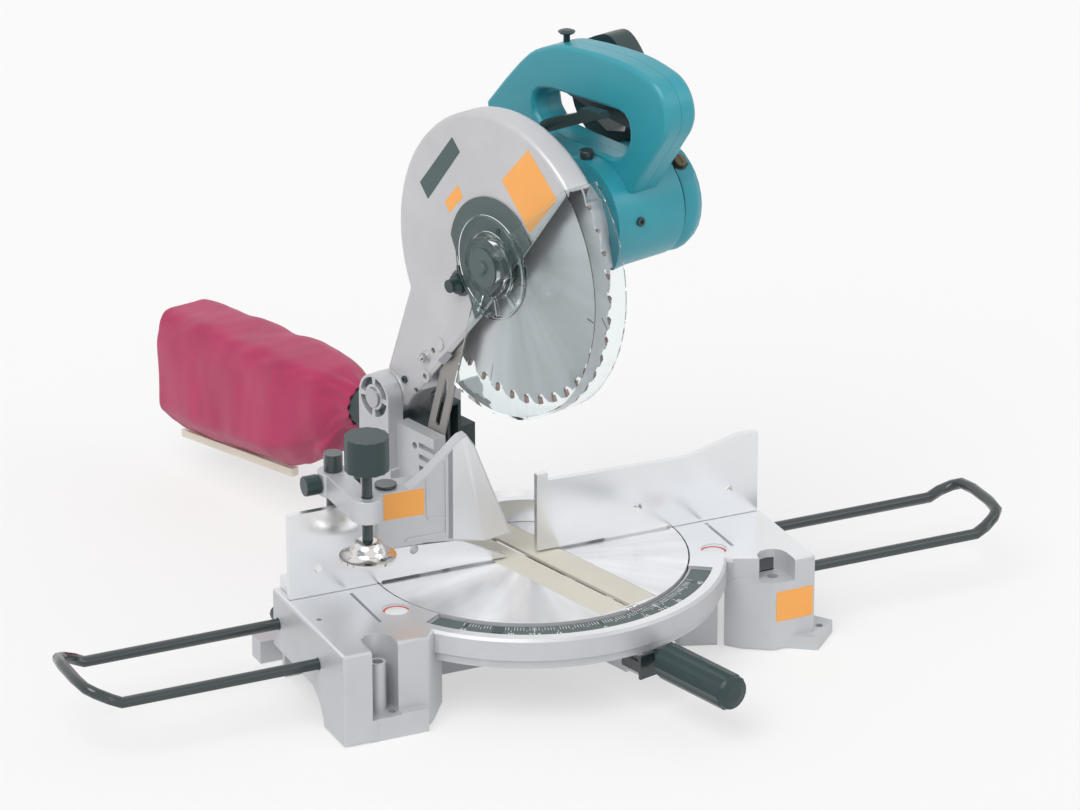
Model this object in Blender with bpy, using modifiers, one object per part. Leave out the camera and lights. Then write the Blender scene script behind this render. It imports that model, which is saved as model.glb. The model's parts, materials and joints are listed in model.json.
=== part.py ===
# Compound mitre saw with a swinging head, a turntable, a raised sub-fence and a hold-down clamp.
# Metres, +Z up. World frame: X along the fence to the right, Y to the back, Z up from the bench,
# with the origin under the turntable's pivot. The table frame is the world frame turned about Z
# by the mitre angle: the blade stands in its plane x = 0.
import math

import bmesh
import bpy
from mathutils import Matrix, Vector

for leftover in list(bpy.data.objects):
    bpy.data.objects.remove(leftover, do_unlink=True)

parts = bpy.data.collections.new("compound_mitre_saw")
cutters = bpy.data.collections.new("cutters")
for group in (parts, cutters):
    bpy.context.scene.collection.children.link(group)

# Driving dimensions
BLADE_RADIUS = 0.130
BLADE_THICKNESS = 0.0022
TABLE_TOP = 0.086
TABLE_RADIUS = 0.1422
HALF_WIDTH = 0.231
MITRE_ANGLE = math.radians(15)
FENCE_THICKNESS = 0.006
PIVOT_Y = 0.170
PIVOT_Z = 0.192
BLADE_Y = 0.022
BLADE_Z = 0.360
MOTOR_Y = -0.012
MOTOR_Z = 0.398
MOTOR_RADIUS = 0.052
HANDLE_X = 0.085
HANDLE_CUT_TOP = 0.552
GAP = 0.0003
OVERRUN = 0.003
FINE = 0.00001
ROUND_STEPS = 30
SMALL_STEPS = 12
EDGE_STEPS = 2
SHARP_ANGLE = math.radians(30)
FLAT_ANGLE = math.radians(0.5)

# Looks: base colour, roughness and metallic value
CAST = ((0.58, 0.60, 0.63, 1.0), 0.45, 0.7)
MACHINED = ((0.74, 0.75, 0.78, 1.0), 0.3, 0.9)
TEAL = ((0.02, 0.30, 0.38, 1.0), 0.4, 0.0)
BLACK = ((0.02, 0.035, 0.04, 1.0), 0.4, 0.0)
SLATE = ((0.08, 0.11, 0.11, 1.0), 0.5, 0.1)
STEEL = ((0.5, 0.5, 0.52, 1.0), 0.3, 1.0)
BLADE_STEEL = ((0.42, 0.42, 0.46, 1.0), 0.25, 1.0)
NICKEL = ((0.7, 0.7, 0.7, 1.0), 0.2, 1.0)
BOARD = ((0.68, 0.62, 0.52, 1.0), 0.6, 0.0)
CLEAR = ((0.85, 0.9, 0.92, 0.35), 0.1, 0.0)
CRIMSON = ((0.42, 0.02, 0.10, 1.0), 0.9, 0.0)
CREAM = ((0.80, 0.76, 0.62, 1.0), 0.5, 0.0)
COPPER = ((0.55, 0.25, 0.12, 1.0), 0.4, 0.9)
BROWN = ((0.22, 0.20, 0.18, 1.0), 0.5, 0.6)

TURNS = {
    "X": Matrix.Rotation(math.pi / 2, 4, "Y"),
    "Y": Matrix.Rotation(-math.pi / 2, 4, "X"),
    "Z": Matrix.Identity(4),
}
PLANES = {
    "TOP": Matrix.Identity(4),
    "FRONT": Matrix(((1, 0, 0, 0), (0, 0, -1, 0), (0, 1, 0, 0), (0, 0, 0, 1))),
    "SIDE": Matrix(((0, 0, 1, 0), (1, 0, 0, 0), (0, 1, 0, 0), (0, 0, 0, 1))),
}
NORMALS = {"TOP": Vector((0, 0, 1)), "FRONT": Vector((0, 1, 0)), "SIDE": Vector((1, 0, 0))}


# Outlines

def spread(shares, low, high):
    # Points given as shares of the way from one corner of a rectangle to the other.
    width = high[0] - low[0]
    height = high[1] - low[1]
    return [(low[0] + u * width, low[1] + v * height) for u, v in shares]


def arc(centre, radius, start, end, steps):
    # Points along an arc, between two angles in degrees.
    angles = [math.radians(start + (end - start) * i / steps) for i in range(steps + 1)]
    return [(centre[0] + radius * math.cos(a), centre[1] + radius * math.sin(a)) for a in angles]


def curved(points, first, last, cuts=3):
    # Turns the stretch between two corners of an outline into a curve through its own points.
    made = list(points[:first])
    for i in range(first, last):
        before, here, there, after = (Vector(points[i + k]) for k in (-1, 0, 1, 2))
        reach = (there - here).length
        leave = (there - before).normalized() * reach
        arrive = (after - here).normalized() * reach
        for step in range(cuts):
            t = step / cuts
            spot = here * (2 * t ** 3 - 3 * t ** 2 + 1) + leave * (t ** 3 - 2 * t ** 2 + t)
            spot = spot + there * (3 * t ** 2 - 2 * t ** 3) + arrive * (t ** 3 - t ** 2)
            made.append((spot.x, spot.y))
    return made + list(points[last:])


def circle(centre, radius, steps=SMALL_STEPS):
    return arc(centre, radius, 0, 360, steps)[:-1]


def mirrored(points):
    return [(-u, v) for u, v in reversed(points)]


# Shapes: each returns a mesh in the coordinates of its frame

def as_mesh(bm):
    bmesh.ops.recalc_face_normals(bm, faces=bm.faces[:])
    mesh = bpy.data.meshes.new("shape")
    bm.to_mesh(mesh)
    bm.free()
    return mesh


def rounded(bm, rounding):
    # Rounds the sharp edges of a closed mesh.
    if rounding:
        sharp = [e for e in bm.edges if e.calc_face_angle(0) > SHARP_ANGLE]
        bmesh.ops.bevel(bm, geom=sharp, offset=rounding, segments=EDGE_STEPS, affect="EDGES",
                        profile=0.5, clamp_overlap=True)
    return bm


def box(low, high, rounding=0):
    bm = bmesh.new()
    bmesh.ops.create_cube(bm, size=1)
    size = Vector(high) - Vector(low)
    bmesh.ops.scale(bm, vec=size, verts=bm.verts)
    bmesh.ops.translate(bm, vec=Vector(low) + size / 2, verts=bm.verts)
    return as_mesh(rounded(bm, rounding))


def along(axis, centre, middle):
    # The point at a height along an axis, whose two other coordinates are the centre.
    places = {"X": (middle, *centre), "Y": (centre[0], middle, centre[1]), "Z": (*centre, middle)}
    return Matrix.Translation(places[axis])


def rod(axis, centre, radius, low, high, steps=SMALL_STEPS, tip=None, rounding=0):
    # A cylinder along an axis, or a cone where the tip has its own radius.
    bm = bmesh.new()
    end = radius if tip is None else tip
    bmesh.ops.create_cone(bm, cap_ends=True, segments=steps, radius1=radius, radius2=end, depth=high - low)
    bmesh.ops.transform(bm, matrix=along(axis, centre, (low + high) / 2) @ TURNS[axis], verts=bm.verts)
    return as_mesh(rounded(bm, rounding))


def evaluated(obj):
    # The mesh of an object with its modifiers or its curve settings applied.
    cutters.objects.link(obj)
    graph = bpy.context.evaluated_depsgraph_get()
    mesh = bpy.data.meshes.new_from_object(obj.evaluated_get(graph))
    bpy.data.objects.remove(obj, do_unlink=True)
    bm = bmesh.new()
    bm.from_mesh(mesh)
    bmesh.ops.remove_doubles(bm, verts=bm.verts, dist=FINE)
    return bm


def plate(outlines, plane, low, high, rounding=0):
    # A flat outline, with any holes inside it, made thick between two places along its normal.
    curve = bpy.data.curves.new("outline", "CURVE")
    curve.dimensions = "2D"
    curve.fill_mode = "BOTH"
    curve.extrude = (high - low) / 2
    for outline in outlines:
        spline = curve.splines.new("POLY")
        spline.points.add(len(outline) - 1)
        for point, (u, v) in zip(spline.points, outline):
            point.co = (u, v, 0, 1)
        spline.use_cyclic_u = True
    bm = evaluated(bpy.data.objects.new("outline", curve))
    bmesh.ops.dissolve_limit(bm, angle_limit=FLAT_ANGLE, verts=bm.verts, edges=bm.edges)
    middle = Matrix.Translation(NORMALS[plane] * ((low + high) / 2))
    bmesh.ops.transform(bm, matrix=middle @ PLANES[plane], verts=bm.verts)
    return as_mesh(rounded(bm, rounding))


def turned(profile, axis, centre, start=0, sweep=360, steps=ROUND_STEPS, ring=False):
    # A profile of radii and heights swept round an axis. A ring's profile is closed.
    mesh = bpy.data.meshes.new("profile")
    edges = [(i, i + 1) for i in range(len(profile) - 1)]
    if ring:
        edges.append((len(profile) - 1, 0))
    mesh.from_pydata([(r, 0, h) for r, h in profile], edges, [])
    obj = bpy.data.objects.new("profile", mesh)
    screw = obj.modifiers.new("Screw", "SCREW")
    screw.angle = math.radians(sweep)
    screw.steps = steps
    screw.render_steps = steps
    screw.use_merge_vertices = True
    screw.merge_threshold = FINE
    bm = evaluated(obj)
    open_edges = [e for e in bm.edges if e.is_boundary]
    if open_edges:
        bmesh.ops.holes_fill(bm, edges=open_edges)
    matrix = along(axis, centre, 0) @ TURNS[axis] @ Matrix.Rotation(math.radians(start), 4, "Z")
    bmesh.ops.transform(bm, matrix=matrix, verts=bm.verts)
    return as_mesh(bm)


def ring(axis, centre, inner, outer, low, high, start=0, sweep=360, steps=ROUND_STEPS):
    # A plain ring, or a part of one.
    profile = ((inner, high), (outer, high), (outer, low), (inner, low))
    return turned(profile, axis, centre, start, sweep, steps, ring=True)


def tube(points, radius, sides=2):
    # A round bar along points.
    curve = bpy.data.curves.new("bar", "CURVE")
    curve.dimensions = "3D"
    curve.bevel_depth = radius
    curve.bevel_resolution = sides
    curve.use_fill_caps = True
    spline = curve.splines.new("POLY")
    spline.points.add(len(points) - 1)
    for point, place in zip(spline.points, points):
        point.co = (*place, 1)
    return as_mesh(evaluated(bpy.data.objects.new("bar", curve)))


def slanted(mesh, turn, about):
    # A mesh turned about a point, for the pieces that stand at an angle.
    place = Matrix.Translation(about)
    mesh.transform(place @ turn @ place.inverted())
    return mesh


# Objects: a piece is built in its frame's coordinates and hangs on its body's axis

rest_places = {}


def joint_axis(name, place=(0, 0, 0), parent=None, turn=0):
    empty = bpy.data.objects.new(name, None)
    parts.objects.link(empty)
    rest_places[empty] = Vector(place)
    empty.location = Vector(place) - (rest_places[parent] if parent else Vector())
    empty.rotation_euler.z = turn
    empty.parent = parent
    return empty


def hang(name, mesh, body, group):
    obj = bpy.data.objects.new(name, mesh)
    mesh.name = name
    group.objects.link(obj)
    if body:
        mesh.transform(Matrix.Translation(-rest_places[body]))
        obj.parent = body
    return obj


def add(mesh):
    return ("UNION", mesh)


def cut(mesh):
    return ("DIFFERENCE", mesh)


def keep(mesh):
    return ("INTERSECT", mesh)


def piece(name, body, mesh, look, steps=(), solver="EXACT"):
    # One sub-part: its first shape, then shapes added to it and cut from it in order.
    obj = hang(name, mesh, body, parts)
    for i, (operation, tool) in enumerate(steps):
        cutter = hang(f"{name}_tool_{i}", tool, body, cutters)
        cutter.hide_render = True
        cutter.display_type = "WIRE"
        boolean = obj.modifiers.new(f"{operation.lower()}_{i}", "BOOLEAN")
        boolean.operation = operation
        boolean.solver = solver
        boolean.object = cutter
    colour, roughness, metallic = look
    material = bpy.data.materials.new(name)
    material.use_nodes = True
    shader = material.node_tree.nodes["Principled BSDF"]
    shader.inputs["Base Color"].default_value = colour
    shader.inputs["Roughness"].default_value = roughness
    shader.inputs["Metallic"].default_value = metallic
    shader.inputs["Alpha"].default_value = colour[3]
    obj.data.materials.append(material)
    return obj


# Moving bodies: an empty on each joint's axis
SUB_FENCE_X = -0.129
SUB_FENCE_Y = 0.015
CLAMP_X = -0.174
CLAMP_Y = 0.025
FOOT_X = -0.170
FOOT_Y = -0.040
GRIP_Z = 0.052
ROD_Z = 0.057
LINK_Y = 0.118
LINK_Z = 0.152
TRIGGER_Y = 0.046
TRIGGER_Z = 0.494
LEVER_X = 0.0166
LEVER_Y = -0.160
LEVER_Z = 0.0515
CARRY_X = 0.125
RELEASE_Y = 0.038
RELEASE_Z = 0.466
RELEASE_ROD = 0.003
BUTTON_Y = 0.048
BUTTON_Z = 0.532
turntable_axis = joint_axis("turntable_axis", turn=MITRE_ANGLE)
grip_axis = joint_axis("grip_axis", (0, 0, GRIP_Z), turntable_axis)
bevel_axis = joint_axis("bevel_axis", (0, 0, TABLE_TOP), turntable_axis)
link_axis = joint_axis("link_axis", (0, LINK_Y, LINK_Z), bevel_axis)
chop_axis = joint_axis("chop_axis", (0, PIVOT_Y, PIVOT_Z), bevel_axis)
guard_axis = joint_axis("guard_axis", (0, BLADE_Y, BLADE_Z), chop_axis)
spindle_axis = joint_axis("spindle_axis", (0, BLADE_Y, BLADE_Z), chop_axis)
motor_axis = joint_axis("motor_axis", (0, MOTOR_Y, MOTOR_Z), chop_axis)
trigger_axis = joint_axis("trigger_axis", (HANDLE_X, TRIGGER_Y, TRIGGER_Z), chop_axis)
sub_fence_axis = joint_axis("sub_fence_axis", (SUB_FENCE_X, SUB_FENCE_Y, TABLE_TOP))
clamp_axis = joint_axis("clamp_axis", (CLAMP_X, CLAMP_Y, TABLE_TOP))
foot_axis = joint_axis("foot_axis", (FOOT_X, FOOT_Y, TABLE_TOP), clamp_axis)
lever_axis = joint_axis("lever_axis", (LEVER_X, LEVER_Y, LEVER_Z), turntable_axis)
holder_left_axis = joint_axis("holder_left_axis", (-HALF_WIDTH, 0, ROD_Z))
holder_right_axis = joint_axis("holder_right_axis", (HALF_WIDTH, 0, ROD_Z))
release_axis = joint_axis("release_axis", (HANDLE_X, RELEASE_Y, RELEASE_Z), chop_axis)
button_axis = joint_axis("button_axis", (HANDLE_X, BUTTON_Y, BUTTON_Z), chop_axis)
bevel_lever_axis = joint_axis("bevel_lever_axis", (0, PIVOT_Y, TABLE_TOP), bevel_axis)


# Base casting: two hollow wings, a front ring between them, a spider under the turntable

WING_INSET = 0.0242
WING_INNER = TABLE_RADIUS - WING_INSET
WING_REAR = 0.064
LEFT_FRONT = -0.126
RIGHT_FRONT = -0.110
WING_ROUNDING = 0.003
TOP_THICKNESS = 0.008
WALL = 0.006
TABLE_CLEARANCE = 0.0013
BAND_LAP = 0.0017
DISC_HOLE = TABLE_RADIUS + TABLE_CLEARANCE
BAND_INNER = TABLE_RADIUS - BAND_LAP
LUG_INSET = 0.039
LUG_REACH = 0.025
LEFT_HOLE_INSET = 0.050
RIGHT_HOLE_REACH = 0.009
VENT_INSET = 0.012
LUG_LOW = (HALF_WIDTH - LUG_INSET, -0.122)
LUG_HIGH = (HALF_WIDTH + LUG_REACH, -0.060)
LEFT_FOOT_HOLE = (-HALF_WIDTH + LEFT_HOLE_INSET, -0.115)
RIGHT_FOOT_HOLE = (HALF_WIDTH + RIGHT_HOLE_REACH, -0.099)
VENT_HOLE = (-HALF_WIDTH + VENT_INSET, -0.046)
VENT_RADIUS = 0.0025
LEFT_ARCH_FRONT = -0.083
RIGHT_ARCH_FRONT = -0.060
ARCH_TOP = 0.033
LEFT_GROOVE = (-0.073, -0.008)
RIGHT_GROOVE = (-0.059, -0.005)
LEFT_STICKER = (-0.151, -0.0545)
RIGHT_STICKER = (0.155, -0.0580)
RING_WIDTH = 0.0338
RING_LIP = 0.004
RING_OUTER = TABLE_RADIUS + RING_WIDTH
RING_LOWER = RING_OUTER - RING_LIP
RING_STEP = 0.066
RING_BOTTOM = 0.057
RING_ROUNDING = 0.0025
RING_START = -155
RING_SWEEP = 133
SCALE_WIDTH = 0.019
SCALE_SETBACK = 0.0038
SCALE_INNER = TABLE_RADIUS + SCALE_SETBACK
SCALE_OUTER = SCALE_INNER + SCALE_WIDTH
SCALE_DEPTH = 0.0032
SCALE_THICKNESS = 0.001
SCALE_START = -147
SCALE_SWEEP = 113
SPIDER_LAP = 0.0053
SPIDER_HALF_LENGTH = TABLE_RADIUS + SPIDER_LAP
SPIDER_HALF_WIDTH = 0.027
SPIDER_TOP = 0.012
BOSS_RADIUS = 0.030
BOSS_TOP = 0.0297
BOSS_BOTTOM = 0.004
BOLT_RADIUS = 0.006
BOLT_START = 0.006
RAIL_FRONT = 0.0605
RAIL_BACK = 0.080
RAIL_TOP = 0.021
ROD_RADIUS = 0.00525
ROD_FRONT_Y = -0.071
ROD_REAR_Y = 0.018
ROD_CLEARANCE = 0.0004
HOLLOW_FRONT = -0.080
HOLLOW_REAR = 0.057
HOLLOW_WALL = 0.0078
HOLLOW_INNER = TABLE_RADIUS + HOLLOW_WALL
SIDE_REAR = 0.032
POCKET_INSET = 0.041
POCKET_X = -HALF_WIDTH + POCKET_INSET
POCKET_Y = -0.105
POCKET_RADIUS = 0.0140
LUG_TOP = 0.022
SOCKET_TOP = 0.066
SOCKET_OUTER = 0.0073
SOCKET_INNER = 0.005
FOOT_BOLT_RADIUS = 0.0035
SHELF_INSET = 0.035
SHELF_X = HALF_WIDTH - SHELF_INSET
SHELF_Y = -0.092
RIGHT_LUG_TOP = 0.012
GROOVE_INSET = 0.058
GROOVE_X = HALF_WIDTH - GROOVE_INSET
GROOVE_HALF = 0.0015
GROOVE_DEPTH = 0.001
STICKER_RADIUS = 0.012
STICKER_DEPTH = 0.0006
FENCE_BOLT_Y = 0.017
FENCE_BOLT_BORE = 0.0033
FENCE_BOLT_INSET = 0.019
FENCE_BOLT_X = HALF_WIDTH - FENCE_BOLT_INSET

left_wing_shares = ((0, 0.83), (0, 0), (0.3, 0), (0.3, 0.047), (0.752, 0.047), (0.823, 0.095),
                    (1, 0.242), (1, 1), (0.31, 1), (0.27, 0.83))
right_wing_shares = ((0, 0.26), (0.31, 0.184), (0.416, 0.103), (0.637, 0.011), (1, 0.011),
                     (1, 0.816), (0.73, 0.816), (0.69, 1), (0, 1))
hollow_shares = ((0, 0), (1, 0), (1, 1), (0.47, 1), (0.42, 0.775), (0, 0.775))
arch_shares = ((0, -0.1), (0.02, 0.3), (0.1, 0.7), (0.22, 0.95), (1, 1), (1.02, -0.1))
right_lug_shares = ((0, 0.387), (0.547, 0), (1, 0.452), (0.64, 1))
shelf_shares = ((0.12, 1.4), (0.49, 0.95), (1, 0.95), (1, 0), (0, 0))


def wing_hollow(side):
    outer = HALF_WIDTH - WALL
    shape = spread(hollow_shares, (-outer, HOLLOW_FRONT), (-HOLLOW_INNER, HOLLOW_REAR))
    outline = shape if side < 0 else mirrored(shape)
    return plate([outline], "TOP", -OVERRUN, TABLE_TOP - TOP_THICKNESS)


def side_arch(side, front):
    # The opening under each end wall, between its front and rear feet.
    outline = spread(arch_shares, (front, 0), (SIDE_REAR, ARCH_TOP))
    inner = HALF_WIDTH - WALL - OVERRUN
    outer = HALF_WIDTH + OVERRUN
    low, high = (-outer, -inner) if side < 0 else (inner, outer)
    return plate([outline], "SIDE", low, high)


def rod_bore(side, y):
    low, high = (-HALF_WIDTH - OVERRUN, -TABLE_RADIUS + BOSS_RADIUS) if side < 0 else (
        TABLE_RADIUS - BOSS_RADIUS, HALF_WIDTH + OVERRUN)
    return rod("X", (y, ROD_Z), ROD_RADIUS + ROD_CLEARANCE, low, high)


def groove(x, front, back):
    low = (x - GROOVE_HALF, front, TABLE_TOP - GROOVE_DEPTH)
    return box(low, (x + GROOVE_HALF, back, TABLE_TOP + OVERRUN))


def base_casting():
    left = spread(left_wing_shares, (-HALF_WIDTH, LEFT_FRONT), (-WING_INNER, WING_REAR))
    right = spread(right_wing_shares, (WING_INNER, RIGHT_FRONT), (HALF_WIDTH, WING_REAR))
    band = ((BAND_INNER, TABLE_TOP), (RING_OUTER - RING_ROUNDING, TABLE_TOP),
            (RING_OUTER, TABLE_TOP - RING_ROUNDING), (RING_OUTER, RING_STEP),
            (RING_LOWER, RING_STEP - RING_ROUNDING), (RING_LOWER, RING_BOTTOM),
            (BAND_INNER, RING_BOTTOM))
    lug = spread(right_lug_shares, LUG_LOW, LUG_HIGH)
    shelf = spread(shelf_shares, (SHELF_X - 3 * POCKET_RADIUS, RIGHT_FRONT - OVERRUN),
                   (SHELF_X + POCKET_RADIUS, SHELF_Y))
    steps = [
        add(plate([right], "TOP", 0, TABLE_TOP, WING_ROUNDING)),
        add(turned(band, "Z", (0, 0), RING_START, RING_SWEEP, ring=True)),
        add(box((-SPIDER_HALF_LENGTH, -SPIDER_HALF_WIDTH, 0), (SPIDER_HALF_LENGTH, SPIDER_HALF_WIDTH,
                                                                SPIDER_TOP))),
        add(box((-HALF_WIDTH, RAIL_FRONT, 0), (HALF_WIDTH, RAIL_BACK, RAIL_TOP))),
        add(box((POCKET_X - POCKET_RADIUS - WALL / 3, LEFT_FRONT + GROOVE_DEPTH, 0),
                (-HOLLOW_INNER - GROOVE_DEPTH, POCKET_Y + WALL, LUG_TOP))),
        add(plate([lug], "TOP", 0, RIGHT_LUG_TOP)),
        cut(rod("Z", (0, 0), DISC_HOLE, RAIL_TOP + GROOVE_DEPTH, TABLE_TOP + OVERRUN, steps=2 * ROUND_STEPS)),
        add(rod("Z", (0, 0), BOSS_RADIUS, BOSS_BOTTOM, BOSS_TOP, steps=ROUND_STEPS)),
        cut(ring("Z", (0, 0), TABLE_RADIUS, SCALE_OUTER, TABLE_TOP - SCALE_DEPTH, TABLE_TOP + OVERRUN,
                 SCALE_START, SCALE_SWEEP)),
        cut(wing_hollow(-1)),
        cut(wing_hollow(1)),
        cut(rod("Z", (POCKET_X, POCKET_Y), POCKET_RADIUS, LUG_TOP - GROOVE_DEPTH, TABLE_TOP + OVERRUN)),
        cut(box((POCKET_X - POCKET_RADIUS, LEFT_FRONT - OVERRUN, LUG_TOP - GROOVE_DEPTH),
                (POCKET_X + POCKET_RADIUS, POCKET_Y, TABLE_TOP + OVERRUN))),
        cut(rod("Z", (SHELF_X, SHELF_Y), POCKET_RADIUS, SOCKET_TOP, TABLE_TOP + OVERRUN)),
        cut(plate([shelf], "TOP", SOCKET_TOP, TABLE_TOP + OVERRUN)),
        add(rod("Z", (POCKET_X, POCKET_Y), SOCKET_OUTER, LUG_TOP - WALL, SOCKET_TOP)),
        cut(rod("Z", (0, 0), BOLT_RADIUS + GAP, BOLT_START, BOSS_TOP + OVERRUN)),
        cut(rod("Z", (POCKET_X, POCKET_Y), SOCKET_INNER, LUG_TOP, SOCKET_TOP + OVERRUN)),
        cut(rod("Z", (SHELF_X, SHELF_Y), SOCKET_INNER, RING_BOTTOM, SOCKET_TOP + OVERRUN)),
        cut(rod("Z", LEFT_FOOT_HOLE, FOOT_BOLT_RADIUS, -OVERRUN, LUG_TOP + OVERRUN)),
        cut(rod("Z", RIGHT_FOOT_HOLE, FOOT_BOLT_RADIUS, -OVERRUN, LUG_TOP + OVERRUN)),
        cut(rod("Z", VENT_HOLE, VENT_RADIUS, TABLE_TOP - TOP_THICKNESS - OVERRUN, TABLE_TOP + OVERRUN)),
        cut(side_arch(-1, LEFT_ARCH_FRONT)),
        cut(side_arch(1, RIGHT_ARCH_FRONT)),
        cut(groove(-GROOVE_X, *LEFT_GROOVE)),
        cut(groove(GROOVE_X, *RIGHT_GROOVE)),
        cut(rod("Z", LEFT_STICKER, STICKER_RADIUS, TABLE_TOP - STICKER_DEPTH, TABLE_TOP + OVERRUN)),
        cut(rod("Z", RIGHT_STICKER, STICKER_RADIUS, TABLE_TOP - STICKER_DEPTH, TABLE_TOP + OVERRUN)),
    ]
    for side in (-1, 1):
        for y in (ROD_FRONT_Y, ROD_REAR_Y):
            steps.append(cut(rod_bore(side, y)))
        steps.append(cut(rod("Y", (side * HOLDER_LOCK_X, ROD_Z), HOLDER_LOCK_RADIUS + GAP, ROD_REAR_Y,
                             SIDE_REAR + OVERRUN)))
    for x, y in fence_bolt_places():
        steps.append(cut(rod("Z", (x, y), FENCE_BOLT_BORE, BOLT_BOTTOM - GAP, TABLE_TOP + OVERRUN)))
    piece("base_casting", None, plate([left], "TOP", 0, TABLE_TOP, WING_ROUNDING), CAST, steps, "MANIFOLD")


def mitre_scale_plate():
    bottom = TABLE_TOP - SCALE_DEPTH + GAP
    trim = 1
    mesh = ring("Z", (0, 0), SCALE_INNER, SCALE_OUTER - GAP, bottom, bottom + SCALE_THICKNESS,
                SCALE_START + trim, SCALE_SWEEP - 2 * trim)
    piece("mitre_scale_plate", None, mesh, SLATE)


# Guide fence: two machined plates in one casting, joined behind the blade by a curved bridge

FENCE_BOTTOM = TABLE_TOP + GAP
FENCE_INSET = 0.004
FENCE_HALF = HALF_WIDTH - FENCE_INSET
BLADE_SIDE = 0.0095
LEFT_TIP = 0.019
FENCE_HIGH = 0.166
BRIDGE_INNER = 0.072
BRIDGE_OUTER = 0.080
BRIDGE_TOP = 0.1075
BRIDGE_SWEEP = 176
FENCE_LUG_TOP = 0.098
FENCE_LUG_BACK = 0.028
FENCE_LUG_HALF = 0.012
FENCE_HOLE = 0.0042
FENCE_BOLT_ROOM = 0.009
RELIEF_INSET = 0.0022
RELIEF_HEIGHT = 0.0018
FENCE_HOLE_Z = 0.112
FENCE_HOLES = (-0.200, -0.109, 0.108, 0.198)
CLAMP_BOSS_HALF = 0.016
CLAMP_BOSS_BACK = 0.042
CLAMP_BOSS_TOP = 0.110
CLAMP_ROD_RADIUS = 0.0065
CLAMP_ROD_BOTTOM = 0.090
PIN_BOSS_LEFT = -0.150
PIN_BOSS_RIGHT = -0.100
PIN_BOSS_BACK = 0.029
PIN_BOSS_TOP = 0.1165
PIN_RADIUS = 0.004
PIN_BOTTOM = 0.096
LOCK_SCREW_Z = 0.098
LOCK_SCREW_RADIUS = 0.003
LOCK_KNOB_RADIUS = 0.009
LOCK_KNOB_LENGTH = 0.012
FENCE_BOLT_RADIUS = 0.003
FENCE_HEAD_RADIUS = 0.006
FENCE_HEAD_HEIGHT = 0.005
BOLT_BOTTOM = 0.070

right_fence_shares = ((0, 0), (1, 0), (1, 0.962), (0.917, 0.975), (0.683, 0.812), (0.048, 0.850),
                      (0.048, 0.937), (0, 0.937))
left_fence_shares = ((0, 0), (1, 0), (0.99, 0.046), (0.755, 0.335), (0.524, 0.378),
                     (0.380, 0.378), (0.298, 1), (0, 1))


def fence_bolt_places():
    return ((-FENCE_BOLT_X, FENCE_BOLT_Y), (FENCE_BOLT_X, FENCE_BOLT_Y))


def guide_fence():
    left = spread(left_fence_shares, (-FENCE_HALF, FENCE_BOTTOM), (-LEFT_TIP, FENCE_HIGH))
    right = spread(right_fence_shares, (BLADE_SIDE, FENCE_BOTTOM), (FENCE_HALF, FENCE_HIGH))
    into = FENCE_THICKNESS / 2
    steps = [
        add(plate([right], "FRONT", 0, FENCE_THICKNESS)),
        add(ring("Z", (0, 0), BRIDGE_INNER, BRIDGE_OUTER, FENCE_BOTTOM, BRIDGE_TOP,
                 (180 - BRIDGE_SWEEP) / 2, BRIDGE_SWEEP)),
        add(box((CLAMP_X - CLAMP_BOSS_HALF, into, FENCE_BOTTOM), (CLAMP_X + CLAMP_BOSS_HALF, CLAMP_BOSS_BACK,
                                                                  CLAMP_BOSS_TOP))),
        add(box((PIN_BOSS_LEFT, into, FENCE_BOTTOM), (PIN_BOSS_RIGHT, PIN_BOSS_BACK, PIN_BOSS_TOP))),
    ]
    for x, y in fence_bolt_places():
        back = max(FENCE_LUG_BACK, y + FENCE_LUG_HALF)
        steps.append(add(box((x - FENCE_LUG_HALF, into, FENCE_BOTTOM), (x + FENCE_LUG_HALF, back,
                                                                       FENCE_LUG_TOP))))
    for x, y in fence_bolt_places():
        steps.append(cut(rod("Z", (x, y), FENCE_BOLT_BORE, FENCE_BOTTOM - OVERRUN, FENCE_LUG_TOP + OVERRUN)))
        steps.append(cut(rod("Z", (x, y), FENCE_BOLT_ROOM, FENCE_LUG_TOP, CLAMP_BOSS_TOP + OVERRUN)))
    # The fence stands clear of the turning table
    reach = TABLE_RADIUS - RELIEF_INSET
    steps.append(cut(box((-reach, -OVERRUN, FENCE_BOTTOM - OVERRUN), (reach, FENCE_THICKNESS + OVERRUN,
                                                                     FENCE_BOTTOM + RELIEF_HEIGHT))))
    for x in FENCE_HOLES:
        steps.append(cut(rod("Y", (x, FENCE_HOLE_Z), FENCE_HOLE, -OVERRUN, FENCE_THICKNESS + OVERRUN)))
    steps.append(cut(rod("Z", (CLAMP_X, CLAMP_Y), CLAMP_ROD_RADIUS + GAP, CLAMP_ROD_BOTTOM,
                         CLAMP_BOSS_TOP + OVERRUN)))
    steps.append(cut(rod("Y", (CLAMP_X, LOCK_SCREW_Z), LOCK_SCREW_RADIUS + GAP, CLAMP_Y,
                         CLAMP_BOSS_BACK + OVERRUN)))
    steps.append(cut(rod("Z", (SUB_FENCE_X, SUB_FENCE_Y), PIN_RADIUS + GAP, PIN_BOTTOM,
                         PIN_BOSS_TOP + OVERRUN)))
    piece("guide_fence", None, plate([left], "FRONT", 0, FENCE_THICKNESS), MACHINED, steps)


def bolt(axis, centre, shank, head, low, seat, height, steps=SMALL_STEPS):
    # A bolt pointing down its axis: a shank up to the seat and a head above it.
    profile = ((0, seat + height), (head, seat + height), (head, seat), (shank, seat), (shank, low), (0, low))
    return turned(profile, axis, centre, steps=steps)


def fence_bolts():
    for word, place in zip(("left", "right"), fence_bolt_places()):
        mesh = bolt("Z", place, FENCE_BOLT_RADIUS, FENCE_HEAD_RADIUS, BOLT_BOTTOM, FENCE_LUG_TOP + GAP,
                    FENCE_HEAD_HEIGHT)
        piece(f"fence_bolt_{word}", None, mesh, STEEL)


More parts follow.
